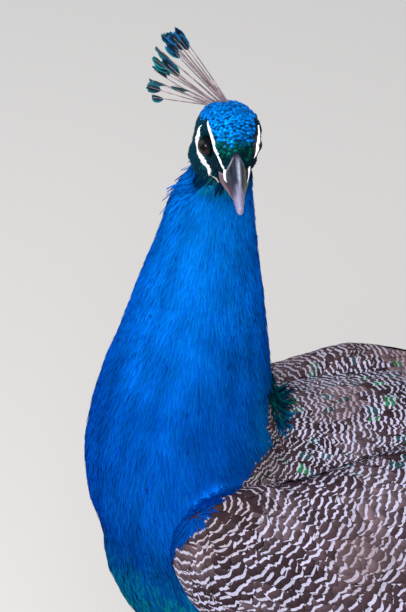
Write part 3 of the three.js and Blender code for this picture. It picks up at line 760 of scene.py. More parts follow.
def stripe(name, line, half, side, seed, tint=WHITE, tree=skin_tree, proud=0.95, stray=0.16, held=0.0):
    """A bare strip along a line of head-frame points, `proud` mm over the tree's surface in its middle.

    held is how much of the line's own place it keeps, and stray how ragged its edges are.
    """
    r = seeded(seed)
    n, cols = 46, 10
    mid = spline(np.array(line) * [1, side, 1], n)
    w = np.interp(np.linspace(0, 1, n), np.linspace(0, 1, len(half)), half)
    across = unit(np.cross(unit(np.gradient(mid, axis=0)), unit(mid * [0, 1, 1])))
    u = np.linspace(-1, 1, cols + 1)
    ragged = 1 + stray * r.normal(size=(n, 2))
    wide = np.where(u[None] > 0, ragged[:, :1], ragged[:, 1:]) * w[:, None] * u[None]
    pts = (mid[:, None] + across[:, None] * wide[..., None]).reshape(-1, 3)
    sunk = proud - (proud + 0.55) * u**4
    lift = (np.broadcast_to(sunk, (n, cols + 1)) * np.minimum(w[:, None] / 0.8, 1)).ravel()
    keep = held * (1 - np.tile(u, n) ** 4)[:, None]
    at = on_skin(pts, lift, tree) + (from_head(pts) - on_skin(pts, 0 * lift, tree)) * keep
    quads = sheet_quads(n - 1, cols)
    rim = np.tile(np.abs(mids(u)), n - 1)[:, None] > (0.8 if held else 0.85)
    tone = (0.86 + 0.14 * r.random((len(quads), 1))) * np.where(rim, 0.015 if held else 0.7, 1)
    return piece(name, bird(at), quads, MAT_BARE, tint * tone, "blue_plumage")


for side, tag in SIDES:
    left = side > 0
    brow = (BROW_LEFT, BROW_LEFT_HALF) if left else (BROW, BROW_HALF)
    stripe("brow_stripe_" + tag, *brow, side, 71 + side, stray=0.08 if left else 0.16, held=float(left))
    stripe("gape_" + tag, GAPE, GAPE_HALF, side, 77 + side, rgb("#c8b4b4"))
    stripe("cheek_patch_" + tag, PATCH, PATCH_LEFT_HALF if left else PATCH_HALF, side, 74 + side)


# ---- regions
HEAD_HALF, CHIN_Z = [34, 25, 25], 648  # the head's half-sizes, and the height where it meets the neck, in mm
LOW_FACE, THROAT = -4, -21  # head-frame heights in mm: the crown stops at the first, the face at the second
SOCKET = 5.2  # mm round the eye that stay bare


def near_head(b):
    h = to_head(b)
    return h, (np.linalg.norm(h / HEAD_HALF, axis=-1) < 1.25) & (b[:, 2] > CHIN_Z)


def below_brow(h):
    """True on the sides of the face, under the brow line, and round the bill."""
    x, y, z = xyz(h)
    line = np.interp(x, [-30, -12, -5, -2, 5, 15.5, 19, 22], [7, 10.5, 12.5, 14.2, 11.8, 4.6, 0.6, -3])
    return (z < line) & (np.abs(y) > np.interp(x, [-30, -8, 8, 20, 24], [11, 11, 9, 6.2, 0]))


def in_socket(h):
    x, y, z = xyz(h)
    e = np.stack([x - EYE_AT[0], np.abs(y) - 17.5, z - EYE_AT[2]], 1)
    return np.linalg.norm(e * [1, 0.7, 1.05], axis=1) < SOCKET


def crown_mask(b, part):
    h, near = near_head(b)
    crown = (part == HEAD) & near & ~below_brow(h) & (h[:, 2] > LOW_FACE)
    return crown & ~in_socket(h) & (stripe_distance(h) > 0.1)


def face_mask(b, part):
    h, near = near_head(b)
    face = (part == HEAD) & near & (below_brow(h) | (h[:, 2] <= LOW_FACE)) & (h[:, 2] > THROAT)
    return face & ~in_socket(h) & (stripe_distance(h) > -0.1)


# Where the blue ends on the bird's left (y is mirrored for its right): from behind the neck along the shoulder
# and down the wing's front.
BLUE_EDGE = spline([[70, 0, 505], [74, 20, 502], [78, 31, 491], [76.5, 36, 478], [82, 43.5, 473],
                    [88, 49, 471.3], [95, 54.4, 467.6], [101.5, 58, 463.3], [106.4, 61.5, 461.6],
                    [113.2, 71.8, 463.3], [121.7, 78.5, 462.9], [128.3, 80.7, 459.2], [133.5, 84.2, 455.4],
                    [139, 86.5, 450.8], [143.1, 86.3, 445.7], [146.4, 84.9, 440.3], [149.3, 82, 429.4],
                    [150, 80, 415], [150, 77, 395], [147, 72, 370]], 90)
# Feathers start this many mm past that edge, the blue ones after it and the barred ones up to it.
BLUE_START, BARRED_END = 7, 4.6
BACK_Z = 418  # mm: over this height it is neck or back, under it breast or belly


def beyond(b):
    """How far bird-mm points lie on the blue side of the blue's edge, in mm (negative behind it)."""
    p = b * np.where(b[:, 1:2] < 0, [1, -1, 1], [1, 1, 1])
    d2 = (p**2).sum(1)[:, None] + (BLUE_EDGE**2).sum(1)[None] - 2 * p @ BLUE_EDGE.T
    k = d2.argmin(1)
    d = p - BLUE_EDGE[k]
    return np.sign(d @ [0.75, -0.45, 0.45]) * np.sqrt(np.maximum(d2[np.arange(len(p)), k], 0))


def mantle(b, more=0.0):
    """The dark green patch at the foot of the neck, behind."""
    x, y, _ = xyz(b)
    front = 57 + 0.46 * np.maximum(y + 10, 0) + 2.5 * wave(b, 9, 40)
    return (x > front - more) & (np.abs(y) < 27 + more) & (beyond(b) < 5)


def neck_mask(b, part):
    x, _, z = xyz(b)
    h, near = near_head(b)
    head = near & (h[:, 2] > THROAT - 1)
    low = (part == TRUNK) & (x > 40) & (z <= BACK_Z)
    return ((beyond(b) > BLUE_START) | low) & ((z > BACK_Z) | (part == TRUNK)) & ~thigh_mask(b, part) & ~head


def barred_mask(b, part):
    x, _, z = xyz(b)
    back = np.isin(part, NECK_TRUNK) & (x > -92) & (z > BACK_Z) & ~mantle(b, -2.0)
    return ((part >= WINGS) | back) & (beyond(b) < BARRED_END)


def mantle_mask(b, part):
    return np.isin(part, NECK_TRUNK) & (b[:, 2] > BACK_Z) & mantle(b)


def rump_mask(b, part):
    x, _, z = xyz(b)
    return (part == TRUNK) & (x <= -84) & (z > 395)


def belly_mask(b, part):
    x, y, z = xyz(b)
    return (part == TRUNK) & (x <= 46) & (z <= 405) & (np.abs(y) < 84)


def thigh_mask(b, part):
    return np.isin(part, THIGHS)


# ---- feathers of the neck and breast
def neck_colour(b, v, u, rand, r):
    z = b[..., 2]
    c = blue_at(b)
    strand = r.normal(1, 0.09, (v.shape[0], 1, v.shape[2]))
    shine = (0.94 + 0.12 * rand[..., 0]) * strand * (0.86 + 0.18 * v)
    c = c * shine[..., None]
    same = np.ones_like(strand)
    c = c * np.stack([same, 1 + 0.10 * r.normal(size=strand.shape), same], -1)
    # painted shade in the coat's partings: the tips of some feathers are dark navy
    parting_shade = (wave(b, 9, 9) > 1.1) & (rand[..., 1] > 0.8)
    c = mix(c, "#02184a", 0.6 * parting_shade * (v > 0.6))
    # painted shade: darker within about 20 mm of the blue's edge, where the blue laps over the barred feathers
    at_edge = 1 - smooth(np.abs(beyond(b.reshape(-1, 3))), 3, 20).reshape(b.shape[:-1])
    c = c * (1 - 0.28 * at_edge)[..., None]
    low = 1 - smooth(z, 352, 432)
    c = mix(c, "#0a8a7c", 0.55 * low * (v > 0.78) * (rand[..., 2] > 0.35))
    return mix(c, "#03283a", 0.5 * low * (v < 0.5))


# From the breast up: the heights in mm, and there the spacing, length and width of the feathers.
nb, nn = scatter(neck_mask, lambda b: np.interp(b[:, 2], [300, 400, 500, 640], [3.5, 2.7, 2.3, 1.95]), 21)
_len = np.interp(nb[:, 2], [300, 420, 520, 650], [24, 18, 13, 8.5])
_len = np.minimum(_len, np.maximum(np.abs(beyond(nb)) + 4, 9))
_wid = np.interp(nb[:, 2], [300, 420, 520, 650], [7.5, 4.6, 3.2, 2.5])
_parts = np.digitize(nb[:, 2], [425, 500, 575])
NECK_PIECES = ["breast_feathers", "neck_feathers_low", "neck_feathers_middle", "neck_feathers_high"]
for k, name in enumerate(NECK_PIECES):
    s = _parts == k
    cols = 7 if k == 0 else 5
    rows = np.array([0, 0.45, 0.75, 1.0])
    jag = seeded(80 + k).normal(0, 0.05, (int(s.sum()), 1, cols)) * rows[None, :, None] ** 2
    coat = Coat(name, MAT_BLUE, soft=0.92)
    coat.add(nb[s], nn[s], _len[s], _wid[s], neck_colour, unwrap_neck, rows, cols, jag=jag, lift=(0.25, 1.0),
             camber=0.14, twist=0.07, form=hackle_form, scallop=0.2, seed=31 + k, stray=0.18)
    coat.finish("blue_plumage")


# a close fringe where the breast's feathers lap over the front of each wing
def fringe_mask(b, part):
    x, y, z = xyz(b)
    past = beyond(b)
    side = (part >= WINGS) | ((part == TRUNK) & (np.abs(y) > 56))
    return side & (past > 3) & (past < 15) & (x > 106) & (z > 415)


lay("shoulder_fringe", MAT_BLUE, "blue_plumage", 0.85, fringe_mask, 1.3, 30,
    7.2, 1.9, neck_colour, unwrap_body, [0, 0.4, 0.75, 1.0], 4,
    lift=(0.7, 1.3), camber=0.2, twist=0.1, form=hackle_form, scallop=0.25, seed=37)


# a few hackles that stand off the nape and the sides of the throat
def nape_mask(b, part):
    z = b[..., 2]
    a = neck_angle(b)
    return neck_mask(b, part) & (z > 622) & (z < 652) & (a > -70) & (a < 25)


lay("nape_hackles", MAT_BLUE, "blue_plumage", 0.7, nape_mask, 6.0, 28,
    10, 2.2, neck_colour, unwrap_neck, 5, 3,
    lift=(0.4, 2.8), camber=0.3, twist=0.3, form=hackle_form, seed=36, stray=0.5)


# ---- feathers of the head
def crown_colour(b, v, u, rand, r):
    h = to_head(b)
    hx, hy, hz = xyz(h)
    ahead = hx + 0.35 * (14 - hz) + 0.45 * np.abs(hy) + 1.5 * wave(h, 8, 12)
    ahead = ahead + 5 * (rand[..., 2] - 0.5)
    green = smooth(ahead, 18, 23)
    c = mix(CROWN, CROWN_GREEN, green)
    c = c * ((0.5 + 0.78 * rand[..., 0]) * (1 - 0.35 * green))[..., None]
    spots = (green - 0.25) * np.where(rand[..., 1] > 0.55, 0.0, 0.8)
    c = mix(c, INK, 0.3 * smooth(ahead, 8, 17) + spots)
    # painted shade between the scales: each is near-black at its root and darker at its edges and tip
    return mix(c, INK, 0.88 * (v < 0.5) + 0.45 * ((v >= 0.5) & (np.abs(u) > 0.6)) + 0.3 * (v > 0.9))


lay("crown_feathers", MAT_CROWN, "blue_plumage", 0.3, crown_mask, 1.85, 22,
    3.2, 2.8, crown_colour, unwrap_head, [0, 0.5, 0.66, 0.84, 1.0], 7,
    lift=(0.1, 0.85), camber=0.2, form=scale_form, scallop=0.10, seed=41)


def face_colour(b, v, u, rand, r):
    h = to_head(b)
    hx, hy, hz = xyz(h)
    c = mix("#013044", "#011f2c", smooth(hx, -12, 10))
    c = mix(c, INK, 0.75 * smooth(hx, 13, 19) * smooth(hz, -7, -1))
    c = mix(c, "#06527a", 0.6 * smooth(-hx, 16, 26))
    c = mix(c, "#0268cc", 0.9 * smooth(-hx, 11, 18) * (1 - smooth(np.abs(hy), 9, 15)))
    c = mix(c, INK, 0.6 * smooth(-hz, 11, 17) * smooth(hx, -12, 0))
    return c * (0.75 + 0.5 * rand[..., 0])[..., None] * (0.7 + 0.4 * v)[..., None]


lay("face_feathers", MAT_FACE, "blue_plumage", 0.6, face_mask, 1.3, 23,
    3.2, 1.2, face_colour, unwrap_head, 3, 3,
    lift=(0.1, 0.6), camber=0.2, twist=0.12, form=hackle_form, seed=42)


# ---- barred feathers of the wings and back
def bar_rows(length, period, bar, count, seed, turns, stray):
    """Places along each vane where its pale bars begin and end, from the root, with the ends of the vane.

    turns is how many periods along the lie each vane ends, so that neighbours' bars meet in long bands.
    """
    r = seeded(seed)
    m = len(length)
    first = period * ((turns + r.normal(0, stray, m)) % 1.0)
    start = first[:, None] + period[:, None] * (np.arange(count)[None] + r.normal(0, 0.07, (m, count)))
    half = bar[:, None] / 2 * r.uniform(0.75, 1.3, (m, count))
    cuts = np.stack([start - half, start + half], -1).reshape(m, -1) / length[:, None]
    cuts = np.clip(1 - cuts[:, ::-1], 0.12, 0.985)
    return np.hstack([np.zeros((m, 1)), cuts, np.ones((m, 1))])


def saw(m, rows, cols, size, length, seed):
    """Ragged edges for the bars: each place across a vane shifts them by about `size` mm."""
    r = seeded(seed)
    shift = r.normal(0, 1, (m, 1, cols)) + 0.35 * r.normal(0, 1, (m, rows, cols))
    wide = np.cumsum(r.normal(0, 0.45, (m, 1, cols)), axis=2)
    jag = size * (shift + wide - wide.mean(2, keepdims=True)) / length[:, None, None]
    jag[:, 0] = 0
    return jag


def by_the_blue(b):
    """1 on the shoulder beside the blue, falling to 0 behind and below."""
    return (1 - smooth(-beyond(b), 2, 24)) * smooth(b[:, 2], 434, 450)


def barred_colour(b, v, u, rand, r):
    x, y, z = xyz(b)
    full = np.ones_like(v)
    row = np.arange(v.shape[1])[None, :, None] + 0 * v
    rim = (np.abs(u) > 0.9) & (v > 0.6) & (rand[..., 3] > 0.7) & (z < 425)
    pale = (row % 2 == 1) & (row < v.shape[1] - 1) | rim
    light = mix(BAR_PALE, "#a9a6bf", r.random(v.shape) * 0.8)
    light = mix(light, "#bda9ae", 0.7 * smooth(-x, 0, 160) * full)
    taupe = smooth(wave(b, 60, 14), -0.1, 0.9) * 0.8 + 0.4 * (rand[..., 1] - 0.5)
    dark = mix(BAR_DARK, BAR_TAUPE, np.clip(taupe, 0, 1) * full)
    dark = dark * (0.8 + 0.4 * r.random(v.shape))[..., None]
    # plainer in places
    mirrored = b * [1, 0, 1] + np.abs(b) * [0, 1, 0]
    plain = np.maximum(smooth(wave(b, 48, 33), 0.35, 0.9) * smooth(80 - x, 0, 60),
                       1.2 * dome(mirrored, *PLAIN))
    plain = np.clip(plain, 0, 1) * full
    light = mix(light, "#8a7880", 0.75 * plain)
    dark = mix(dark, "#6e5a60", 0.6 * plain)
    # a green gloss on some feathers of the back
    centre = np.abs(y) < 64
    green = (rand[..., 2] > 0.74) & centre & (z > 425) & (np.abs(u) < 0.7) & (v > 0.5)
    dark = mix(dark, mix("#17484c", "#167a4a", rand[..., 3] > 0.72), 0.75 * green)
    # browner on the far side and beside the blue
    far = smooth(-y, 40, 58)
    at_edge = by_the_blue(b[:, 0, 0])[:, None, None] * full
    light = mix(mix(light, "#8d7d84", 0.55 * far * full), "#8a7468", 0.5 * at_edge)
    dark = mix(mix(dark, "#4c3a3c", 0.5 * far * full), "#2c1e1c", 0.5 * at_edge)
    light = light * (0.86 + 0.24 * rand[..., 0])[..., None]
    dark = dark * (0.66 + 0.62 * rand[..., 0])[..., None]
    # each bar and gap shades from its root's side to its tip's side
    fade = np.where(pale[..., None], [0.9, 1.04], [1.3, 0.62])
    return np.where(pale[..., None], light, dark)[..., None, :] * fade[..., None]


# A plain patch in the middle of each wing: its place and its size.
PLAIN = ([50, 99, 436], [16, 16, 22])
BAR_COLS = np.array([-1, -0.86, -0.64, -0.4, -0.14, 0.14, 0.4, 0.64, 0.86, 1])
def barred_gap(b):
    return np.where(np.abs(b[:, 1]) < 60, 5.0, 6.2) + 4.0 * smooth(-b[:, 0], -60, 140)


wb, wn = scatter(barred_mask, barred_gap, 24)
_back = (np.abs(wb[:, 1]) < 60) & (wb[:, 2] > 425)
_period = np.where(_back, 3.9, np.interp(wb[:, 2], [395, 425, 445, 465], [8.0, 7.4, 6.2, 5.4]))
_period = _period - 0.6 * by_the_blue(wb)
_turns = along_lie(wb, wn, _period) + (1.9 * wave(wb, 30, 17) + 1.0 * wave(wb, 12, 18)) / _period
for k, (name, s) in enumerate((("back", _back), ("wing_left", ~_back & (wb[:, 1] > 0)),
                               ("wing_right", ~_back & (wb[:, 1] <= 0)))):
    b, period = wb[s], _period[s]
    far = smooth(-b[:, 0], -110, 130)
    long = (18 + 15 * far) if k else (14 + 10 * far)
    bar = (0.28 * period if k else 1.3 - 0.3 * smooth(b[:, 0], 55, 85)) + 0.3 * far
    rows = bar_rows(long, period, bar, 3, 90 + k, _turns[s] + long / period, 0.10 if k else 0.17)
    jag = saw(len(b), rows.shape[1], len(BAR_COLS), 0.45, long, 95 + k)
    coat = Coat("barred_" + name, MAT_BARRED, soft=0.45)
    coat.add(b, wn[s], long, long * (0.66 - 0.06 * far), barred_colour, unwrap_body, rows, BAR_COLS, jag=jag,
             lift=(0.22, 0.7), camber=0.1, twist=0.03 if k else 0.06, form=blunt_form,
             scallop=0.17 if k else 0.12, seed=51 + k)
    coat.finish("barred_plumage")


def mantle_colour(b, v, u, rand, r):
    c = mix("#045a5e", "#02304a", rand[..., 1] + 0 * v)
    c = mix(c, "#0a8a5c", 0.7 * (rand[..., 2] > 0.84) * (v > 0.5))
    strand = r.normal(1, 0.12, (v.shape[0], 1, v.shape[2]))
    return c * ((0.3 + 0.7 * v) * (0.6 + 0.7 * rand[..., 0]) * strand)[..., None]


lay("mantle_feathers", MAT_BLUE, "blue_plumage", 0.5, mantle_mask, 2.3, 29,
    9.5, 2.2, mantle_colour, unwrap_body, 4, 5,
    lift=(0.5, 2.2), camber=0.25, twist=0.25, form=hackle_form, seed=56, stray=0.5)


# ---- rump, belly and thighs
def rump_colour(b, v, u, rand, r):
    c = mix("#1c7a40", "#8a8a2a", 0.6 * rand[..., 0]) + 0 * v[..., None]
    c = mix(c, "#0a1a10", 0.85 * ((v > 0.78) | (np.abs(u) > 0.7)))
    return mix(c, "#7a4a1c", 0.6 * ((v > 0.3) & (v < 0.6) & (np.abs(u) < 0.6)))


lay("rump_feathers", MAT_GREEN, "train_plumage", 0.4, rump_mask, 8.5, 25,
    24, 17, rump_colour, unwrap_body, 8, 7,
    lift=(0.5, 3.0), camber=0.2, seed=61)


def belly_colour(b, v, u, rand, r):
    c = mix(BELLY, "#0a4a40", smooth(b[..., 0], -20, 60) * 0.8) + 0 * v[..., None]
    return c * (0.6 + 0.9 * rand[..., 0])[..., None]


lay("belly_feathers", MAT_DOWN, "blue_plumage", 0.5, belly_mask, 5.0, 26,
    20, 6, belly_colour, unwrap_body, 4, 4,
    lift=(0.4, 3.0), camber=0.3, twist=0.2, form=hackle_form, seed=62)


def thigh_colour(b, v, u, rand, r):
    c = mix(BUFF, "#7a6450", rand[..., 1]) + 0 * v[..., None]
    return c * ((0.7 + 0.5 * rand[..., 0]) * (0.65 + 0.4 * v))[..., None]


lay("thigh_feathers", MAT_DOWN, "buff_plumage", 0.5, thigh_mask, 3.6, 27,
    13, 3.2, thigh_colour, unwrap_body, 4, 3,
    lift=(0.3, 2.0), camber=0.3, twist=0.2, form=hackle_form, seed=63)

# ---- eyes and lids
def cap_mesh(centre, axis, radii, angles, around):
    """Rings about an axis: radii and angles are (rings, around) arrays, angles in radians off the axis."""
    a = around_ring(around)
    up = unit(np.cross(axis, EYE_LEAD))
    flat = unit(np.cross(up, axis))
    way = np.cos(a)[:, None] * flat + np.sin(a)[:, None] * up
    p = centre + radii[..., None] * (np.cos(angles)[..., None] * axis + np.sin(angles)[..., None] * way[None])
    return bird(from_head(p.reshape(-1, 3))), ring_quads(len(radii), around), a


EYE_LEAD = np.array([1.0, 0, -0.35])  # the way the eye's long side runs, in the head's frame
EYE_BALL, EYE_AROUND = 5.5, 48  # radius in mm and points round the axis
PUPIL, IRIS_END = 33, 50  # degrees off the axis
# A lid's rings from its free edge: degrees further from the axis, mm over the ball, tone and paleness.
LID_STEP = np.array([0, 0, 1.2, 3.5, 7, 14, 30, 54])
LID_RISE = np.array([-0.5, 0.0, 0.3, 0.38, 0.3, 0.15, -0.1, -0.4])
LID_TONE = np.array([0.4, 1.3, 1.5, 0.7, 0.5, 0.45, 0.45])
LID_PALE = np.array([0, 1, 1, 0.4, 0, 0, 0])

for side, tag in SIDES:
    # the left eye sits deeper, turned back under the brow
    eye_at = EYE_AT * [1, side, 1] - (np.array([1.0, 1.2, 0.3]) if side > 0 else 0)
    axis = unit(np.array([0.3, 0.82, 0.02] if side > 0 else [0.56, -0.82, 0.08]))
    ang = np.concatenate([[0.3], np.arange(3, 60, 3), np.arange(60, 181, 8)])
    ang = np.radians(ang)[:, None] * np.ones((1, EYE_AROUND))
    v, q, a = cap_mesh(eye_at, axis, EYE_BALL + 0.35 * bell(ang, 0, math.radians(34)), ang, EYE_AROUND)
    deg = np.degrees(mids(ang))[..., None]
    streak = 0.8 + 0.4 * seeded(5).random((1, EYE_AROUND))
    tone = np.where(deg < PUPIL, rgb("#010103"), rgb("#1e0a08") * streak[..., None])
    tone = np.where(deg > IRIS_END, rgb("#0c0608"), tone).reshape(-1, 3)
    piece("eye_" + tag + "_ball", v, q, MAT_EYE, tone, "iris", "eye_" + tag)

    # the lids: from an almond opening out over the ball and down under the feathers
    ang = np.radians((42 if side > 0 else 50) + 8 * np.cos(2 * a))[None] + np.radians(LID_STEP)[:, None]
    v, q, _ = cap_mesh(eye_at, axis, 5.6 + LID_RISE[:, None] + 0 * a[None], ang, EYE_AROUND)
    shade = LID_TONE[:, None, None] * np.ones((1, EYE_AROUND, 1))
    under = smooth(-np.sin(a), 0.2, 0.9)[None, :, None] * LID_PALE[:, None, None]
    tone = (rgb("#03141c") * shade + rgb("#5c6a78") * 0.4 * under).reshape(-1, 3)
    piece("eyelid_" + tag, v, q, MAT_LID, tone, "blue_plumage")

# ---- the bill
# Along the head's x in mm: the bill's base and the tips of its two halves. Then, equally spaced from base to
# tip and in mm: the upper half's height over the seam, the half-widths of both and the lower half's depth.
BILL_BASE, BILL_TIPS = 12.0, (50.6, 47.2)
CULMEN = [16.5, 18.3, 17.4, 14.2, 11.2, 8.3, 5.3, 2.6]
UPPER_W = [6.4, 7.0, 6.9, 5.4, 4.0, 3.1, 2.3, 1.7]
LOWER_W = [7.4, 7.8, 7.4, 5.9, 4.0, 2.8, 2.1, 1.5]
KEEL = [5, 5, 4.6, 4, 3.4, 2.7, 1.9, 1.2]


def listed(values, t):
    """Smooth reading of equally spaced values at t from 0 to 1."""
    v = np.array([2 * values[0] - values[1], *values, 2 * values[-1] - values[-2]], float)
    x = t * (len(values) - 1) * (1 - 1e-9)
    k = x.astype(int)
    return between(v[k], v[k + 1], v[k + 2], v[k + 3], x - k)


def outside_head(points):
    """How far outside the head's solid points in metres lie, in mm."""
    near = ((Vector(x), *flesh_tree.find_nearest(Vector(x))[:2]) for x in points)
    return np.array([(x - at).dot(n) / MM for x, at, n in near])


def mandible(upper):
    name, side, tip = ("bill_upper", 1, BILL_TIPS[0]) if upper else ("bill_lower", -1, BILL_TIPS[1])
    n, around = 60, 36
    t = np.linspace(0, 1, n)[:, None]
    a = around_ring(around)[None]
    x = BILL_BASE + (tip - BILL_BASE) * t
    way = (x - BILL_BASE) / (BILL_TIPS[0] - BILL_BASE)
    seam = -10.5 - 4.2 * way**1.3
    blunt = np.sqrt(np.clip(1 - np.clip((t - 0.93) / 0.07, 0, 1) ** 2, 0, 1))
    wide, deep = (listed(row, t) * blunt for row in ((UPPER_W, CULMEN) if upper else (LOWER_W, KEEL)))
    y = wide * np.sign(np.cos(a)) * np.abs(np.cos(a)) ** 0.95
    bulge = np.clip(side * np.sin(a), 0, 1)
    tuck = np.clip(-side * np.sin(a), 0, 1)
    peaked = 0.92 + (0.95 * (1 - smooth(t, 0.22, 0.55)) if upper else 0)
    z = seam + side * (0.1 + deep * bulge**peaked + 0.25 * tuck)
    if upper:  # its cutting edge hangs over, and its base flares
        z = z - 0.9 * (1 - bulge) * (1 - tuck)
        y = y + 2.2 * (1 - way) * (1 - bulge)
    quads = ring_quads(n, around)
    h = np.stack([x + 0 * a, y, z], -1).reshape(-1, 3)
    verts = bird(from_head(h))
    hx, hy, hz = h[:, 0], np.abs(h[:, 1]), h[:, 2]
    slate = rgb("#121a2c") * (1 + 0.5 * wave(h * [0.35, 1, 1], 2.6, 19))[:, None]
    c = mix(slate, "#857f9e", smooth(hx + 1.5 * wave(h, 6, 20), 36, 44))
    if upper:
        # a painted highlight: a pale streak along the culmen
        ridge_highlight = bell(h[:, 1], 0.9, 0.9) * smooth(hz + 7, 0, 6)
        c = mix(c, "#b4bcd4", 0.85 * ridge_highlight * smooth(hx, 21, 28) * (1 - smooth(hx, 40, 46)))
        low = np.repeat(np.clip(1 - 4.5 * bulge, 0, 1), n, axis=0).reshape(-1)
        c = mix(c, "#a08086", 0.6 * low * (1 - smooth(hx, 46, 52)))
        c = mix(c, "#23222e", 0.5 * bell(hy, 4.6, 1.6) * (hx < 34) * (hz > -4))
        # painted shade: the nostril's opening, dark on the surface
        nostril = ((hx - 26.5) / 2.6) ** 2 + ((hz + 0.4 + 0.35 * (hx - 26.5)) / 0.8) ** 2
        c = mix(c, "#08080c", np.clip(1.6 - nostril, 0, 1) * (hy > 2.5))
    else:
        c = mix(c, "#7c6470", 0.85 * (1 - smooth(hx, 42, 50)))
    # a painted highlight: a pale line round the bill's base, where it meets the head
    d = outside_head(verts)
    rim = smooth(d, -0.5, 0.0) * (1 - smooth(d, 0.25, 0.7)) * (hx < 34)
    c = mix(c, "#aeb2c6", 0.55 * rim * smooth(hy, 1.0, 3.5))
    ob = mesh_object(name + "_horn", verts, quads, MAT_HORN)
    corner_colours(ob, c[quads.ravel()])
    bake_map(ob, (0.04 + 0.9 * pairs(t, a / 6.2832).reshape(-1, 2))[quads.ravel()])
    done(ob, "horn", name)
    return tree_of(verts, quads)


bill_tree = mandible(True)
mandible(False)
for side, tag in SIDES:
    lore = (LORE_LEFT, LORE_LEFT_HALF) if side > 0 else (LORE, LORE_HALF)
    stripe("lore_stripe_" + tag, *lore, side, 73 + 10 * side, tree=bill_tree,
           proud=1.1 if side < 0 else 0.7, stray=0.1, held=0.7 * (side > 0))

# ---- the crest
# In the head's frame: where the first and last plume rise, how far below that they start, and their directions.
CREST_ROOTS = np.array([[-10, 1.2, 18.5], [-19, -11, 13.5]])
CREST_SUNK = np.array([-6.5, 0.3, -4.0])
CREST_FIRST, CREST_LAST = unit(np.array([-0.16, -0.62, 0.825])), unit(np.array([-0.61, -0.77, -0.2]))
CREST_LONG = 54.7  # mm from root to tip
# Each plume: place in the fan (0 foremost), length as a share of the full one, twist of its racket in degrees.
PLUMES = [(0.00, 1.0, 35), (0.02, 0.94, -20), (0.05, 1.03, 10), (0.08, 0.90, 50), (0.10, 1.0, -30),
          (0.13, 0.92, 20), (0.16, 0.98, -10), (0.18, 0.88, 40), (0.28, 1.0, 75), (0.34, 0.92, 30),
          (0.38, 0.84, -20), (0.41, 0.94, 55), (0.44, 0.78, -30), (0.47, 0.88, 15), (0.51, 0.82, -50),
          (0.62, 0.92, -40), (0.66, 0.60, 70), (0.70, 0.86, 60), (0.80, 0.98, 50), (0.88, 1.02, -15),
          (1.0, 1.0, 20)]


def crest():
    r = seeded(77)
    spread = math.acos(float(CREST_FIRST @ CREST_LAST))
    shafts_v, shafts_q = [], []
    coat = Coat("crest_rackets", MAT_CREST, soft=0.0)
    for i, (f, share, twist) in enumerate(PLUMES):
        way = unit(math.sin((1 - f) * spread) * CREST_FIRST + math.sin(f * spread) * CREST_LAST)
        way = unit(way + [0.07 * (i % 3 - 1), 0, 0])
        long = (CREST_LONG + 4.0 * (f < 0.2)) * (1 - 0.33 * f * f) * share * 0.97
        root = CREST_ROOTS[0] + (CREST_ROOTS[1] - CREST_ROOTS[0]) * f
        tip = root + way * long
        root = root + CREST_SUNK
        bend = r.normal(0, 1.3, 3)
        s = np.linspace(0, 1, 14)
        path = root + (tip - root) * s[:, None] + bend * (s * (1 - s) * 4)[:, None] * 0.5
        v, q = tube(from_head(path), np.interp(s, [0, 0.7, 1], [0.42, 0.3, 0.16]), 6)
        shafts_v.append(v)
        shafts_q.append(q + i * len(v))
        # the racket, a small folded fan of barbs round the shaft's last part
        rows, cols = np.linspace(0, 1, 9), np.linspace(-1, 1, 9)
        t = unit(path[-1] - path[-3])
        side0 = unit(np.cross(t, [1.0, 0.1, 0.35]))
        k = unit(np.cross(side0, t))
        a = math.radians(twist) + r.normal(0, 0.15)
        side, k = side0 * math.cos(a) + k * math.sin(a), k * math.cos(a) - side0 * math.sin(a)
        blade = r.uniform(9.0, 12.5) * (1 - 0.2 * f)
        half = r.uniform(2.5, 3.6) * np.interp(rows, [0, 0.12, 0.4, 0.85, 1], [0.12, 0.5, 0.95, 1.05, 0.85])
        fold = r.uniform(0.25, 0.7)
        ragged = 1 + 0.05 * r.normal(size=(1, len(cols))) * np.ones((len(rows), 1))
        run = rows[:, None] * (1 - 0.14 * cols[None] ** 2) * ragged
        rise = half[:, None] * np.abs(cols)[None] * math.sin(fold) + r.uniform(-1.2, 1.2) * run**2
        p = path[-1] - t * (blade - 1.5) + t * (blade * run)[..., None]
        p = p + side * (half[:, None] * cols[None] * math.cos(fold))[..., None] + k * rise[..., None]
        um = np.abs(mids(cols))[None] + 0 * rows[1:, None]
        vm = mids(rows)[:, None] + 0 * um
        edge = np.clip(smooth(um, 0.45, 0.95) + smooth(vm, 0.75, 1.0), 0, 1)
        c = mix("#031c2e", mix("#0a66a8", "#0c8a8c", r.random()), edge * r.uniform(0.35, 0.95))
        c = c * (0.75 + 0.5 * r.random(um.shape))[..., None]
        c = mix(c, "#03121e", 0.7 * (um < 0.14) + 0 * vm)
        uv = pairs(0.05 + 0.9 * f + 0.01 * cols[None], 0.3 + 0.02 * rows[:, None])
        coat.grid(from_head(p)[None], c[None], uv[None])
    coat.finish("crest_plumes", "crest")
    v, q = np.vstack(shafts_v), np.vstack(shafts_q)
    tone = np.repeat(0.65 + 0.9 * r.random((len(q) // 6 + 1, 1)) ** 2, 6, axis=0)[: len(q)]
    piece("crest_shafts", bird(v), q, MAT_QUILL, rgb("#85747c") * tone, "crest_plumes", "crest")


crest()

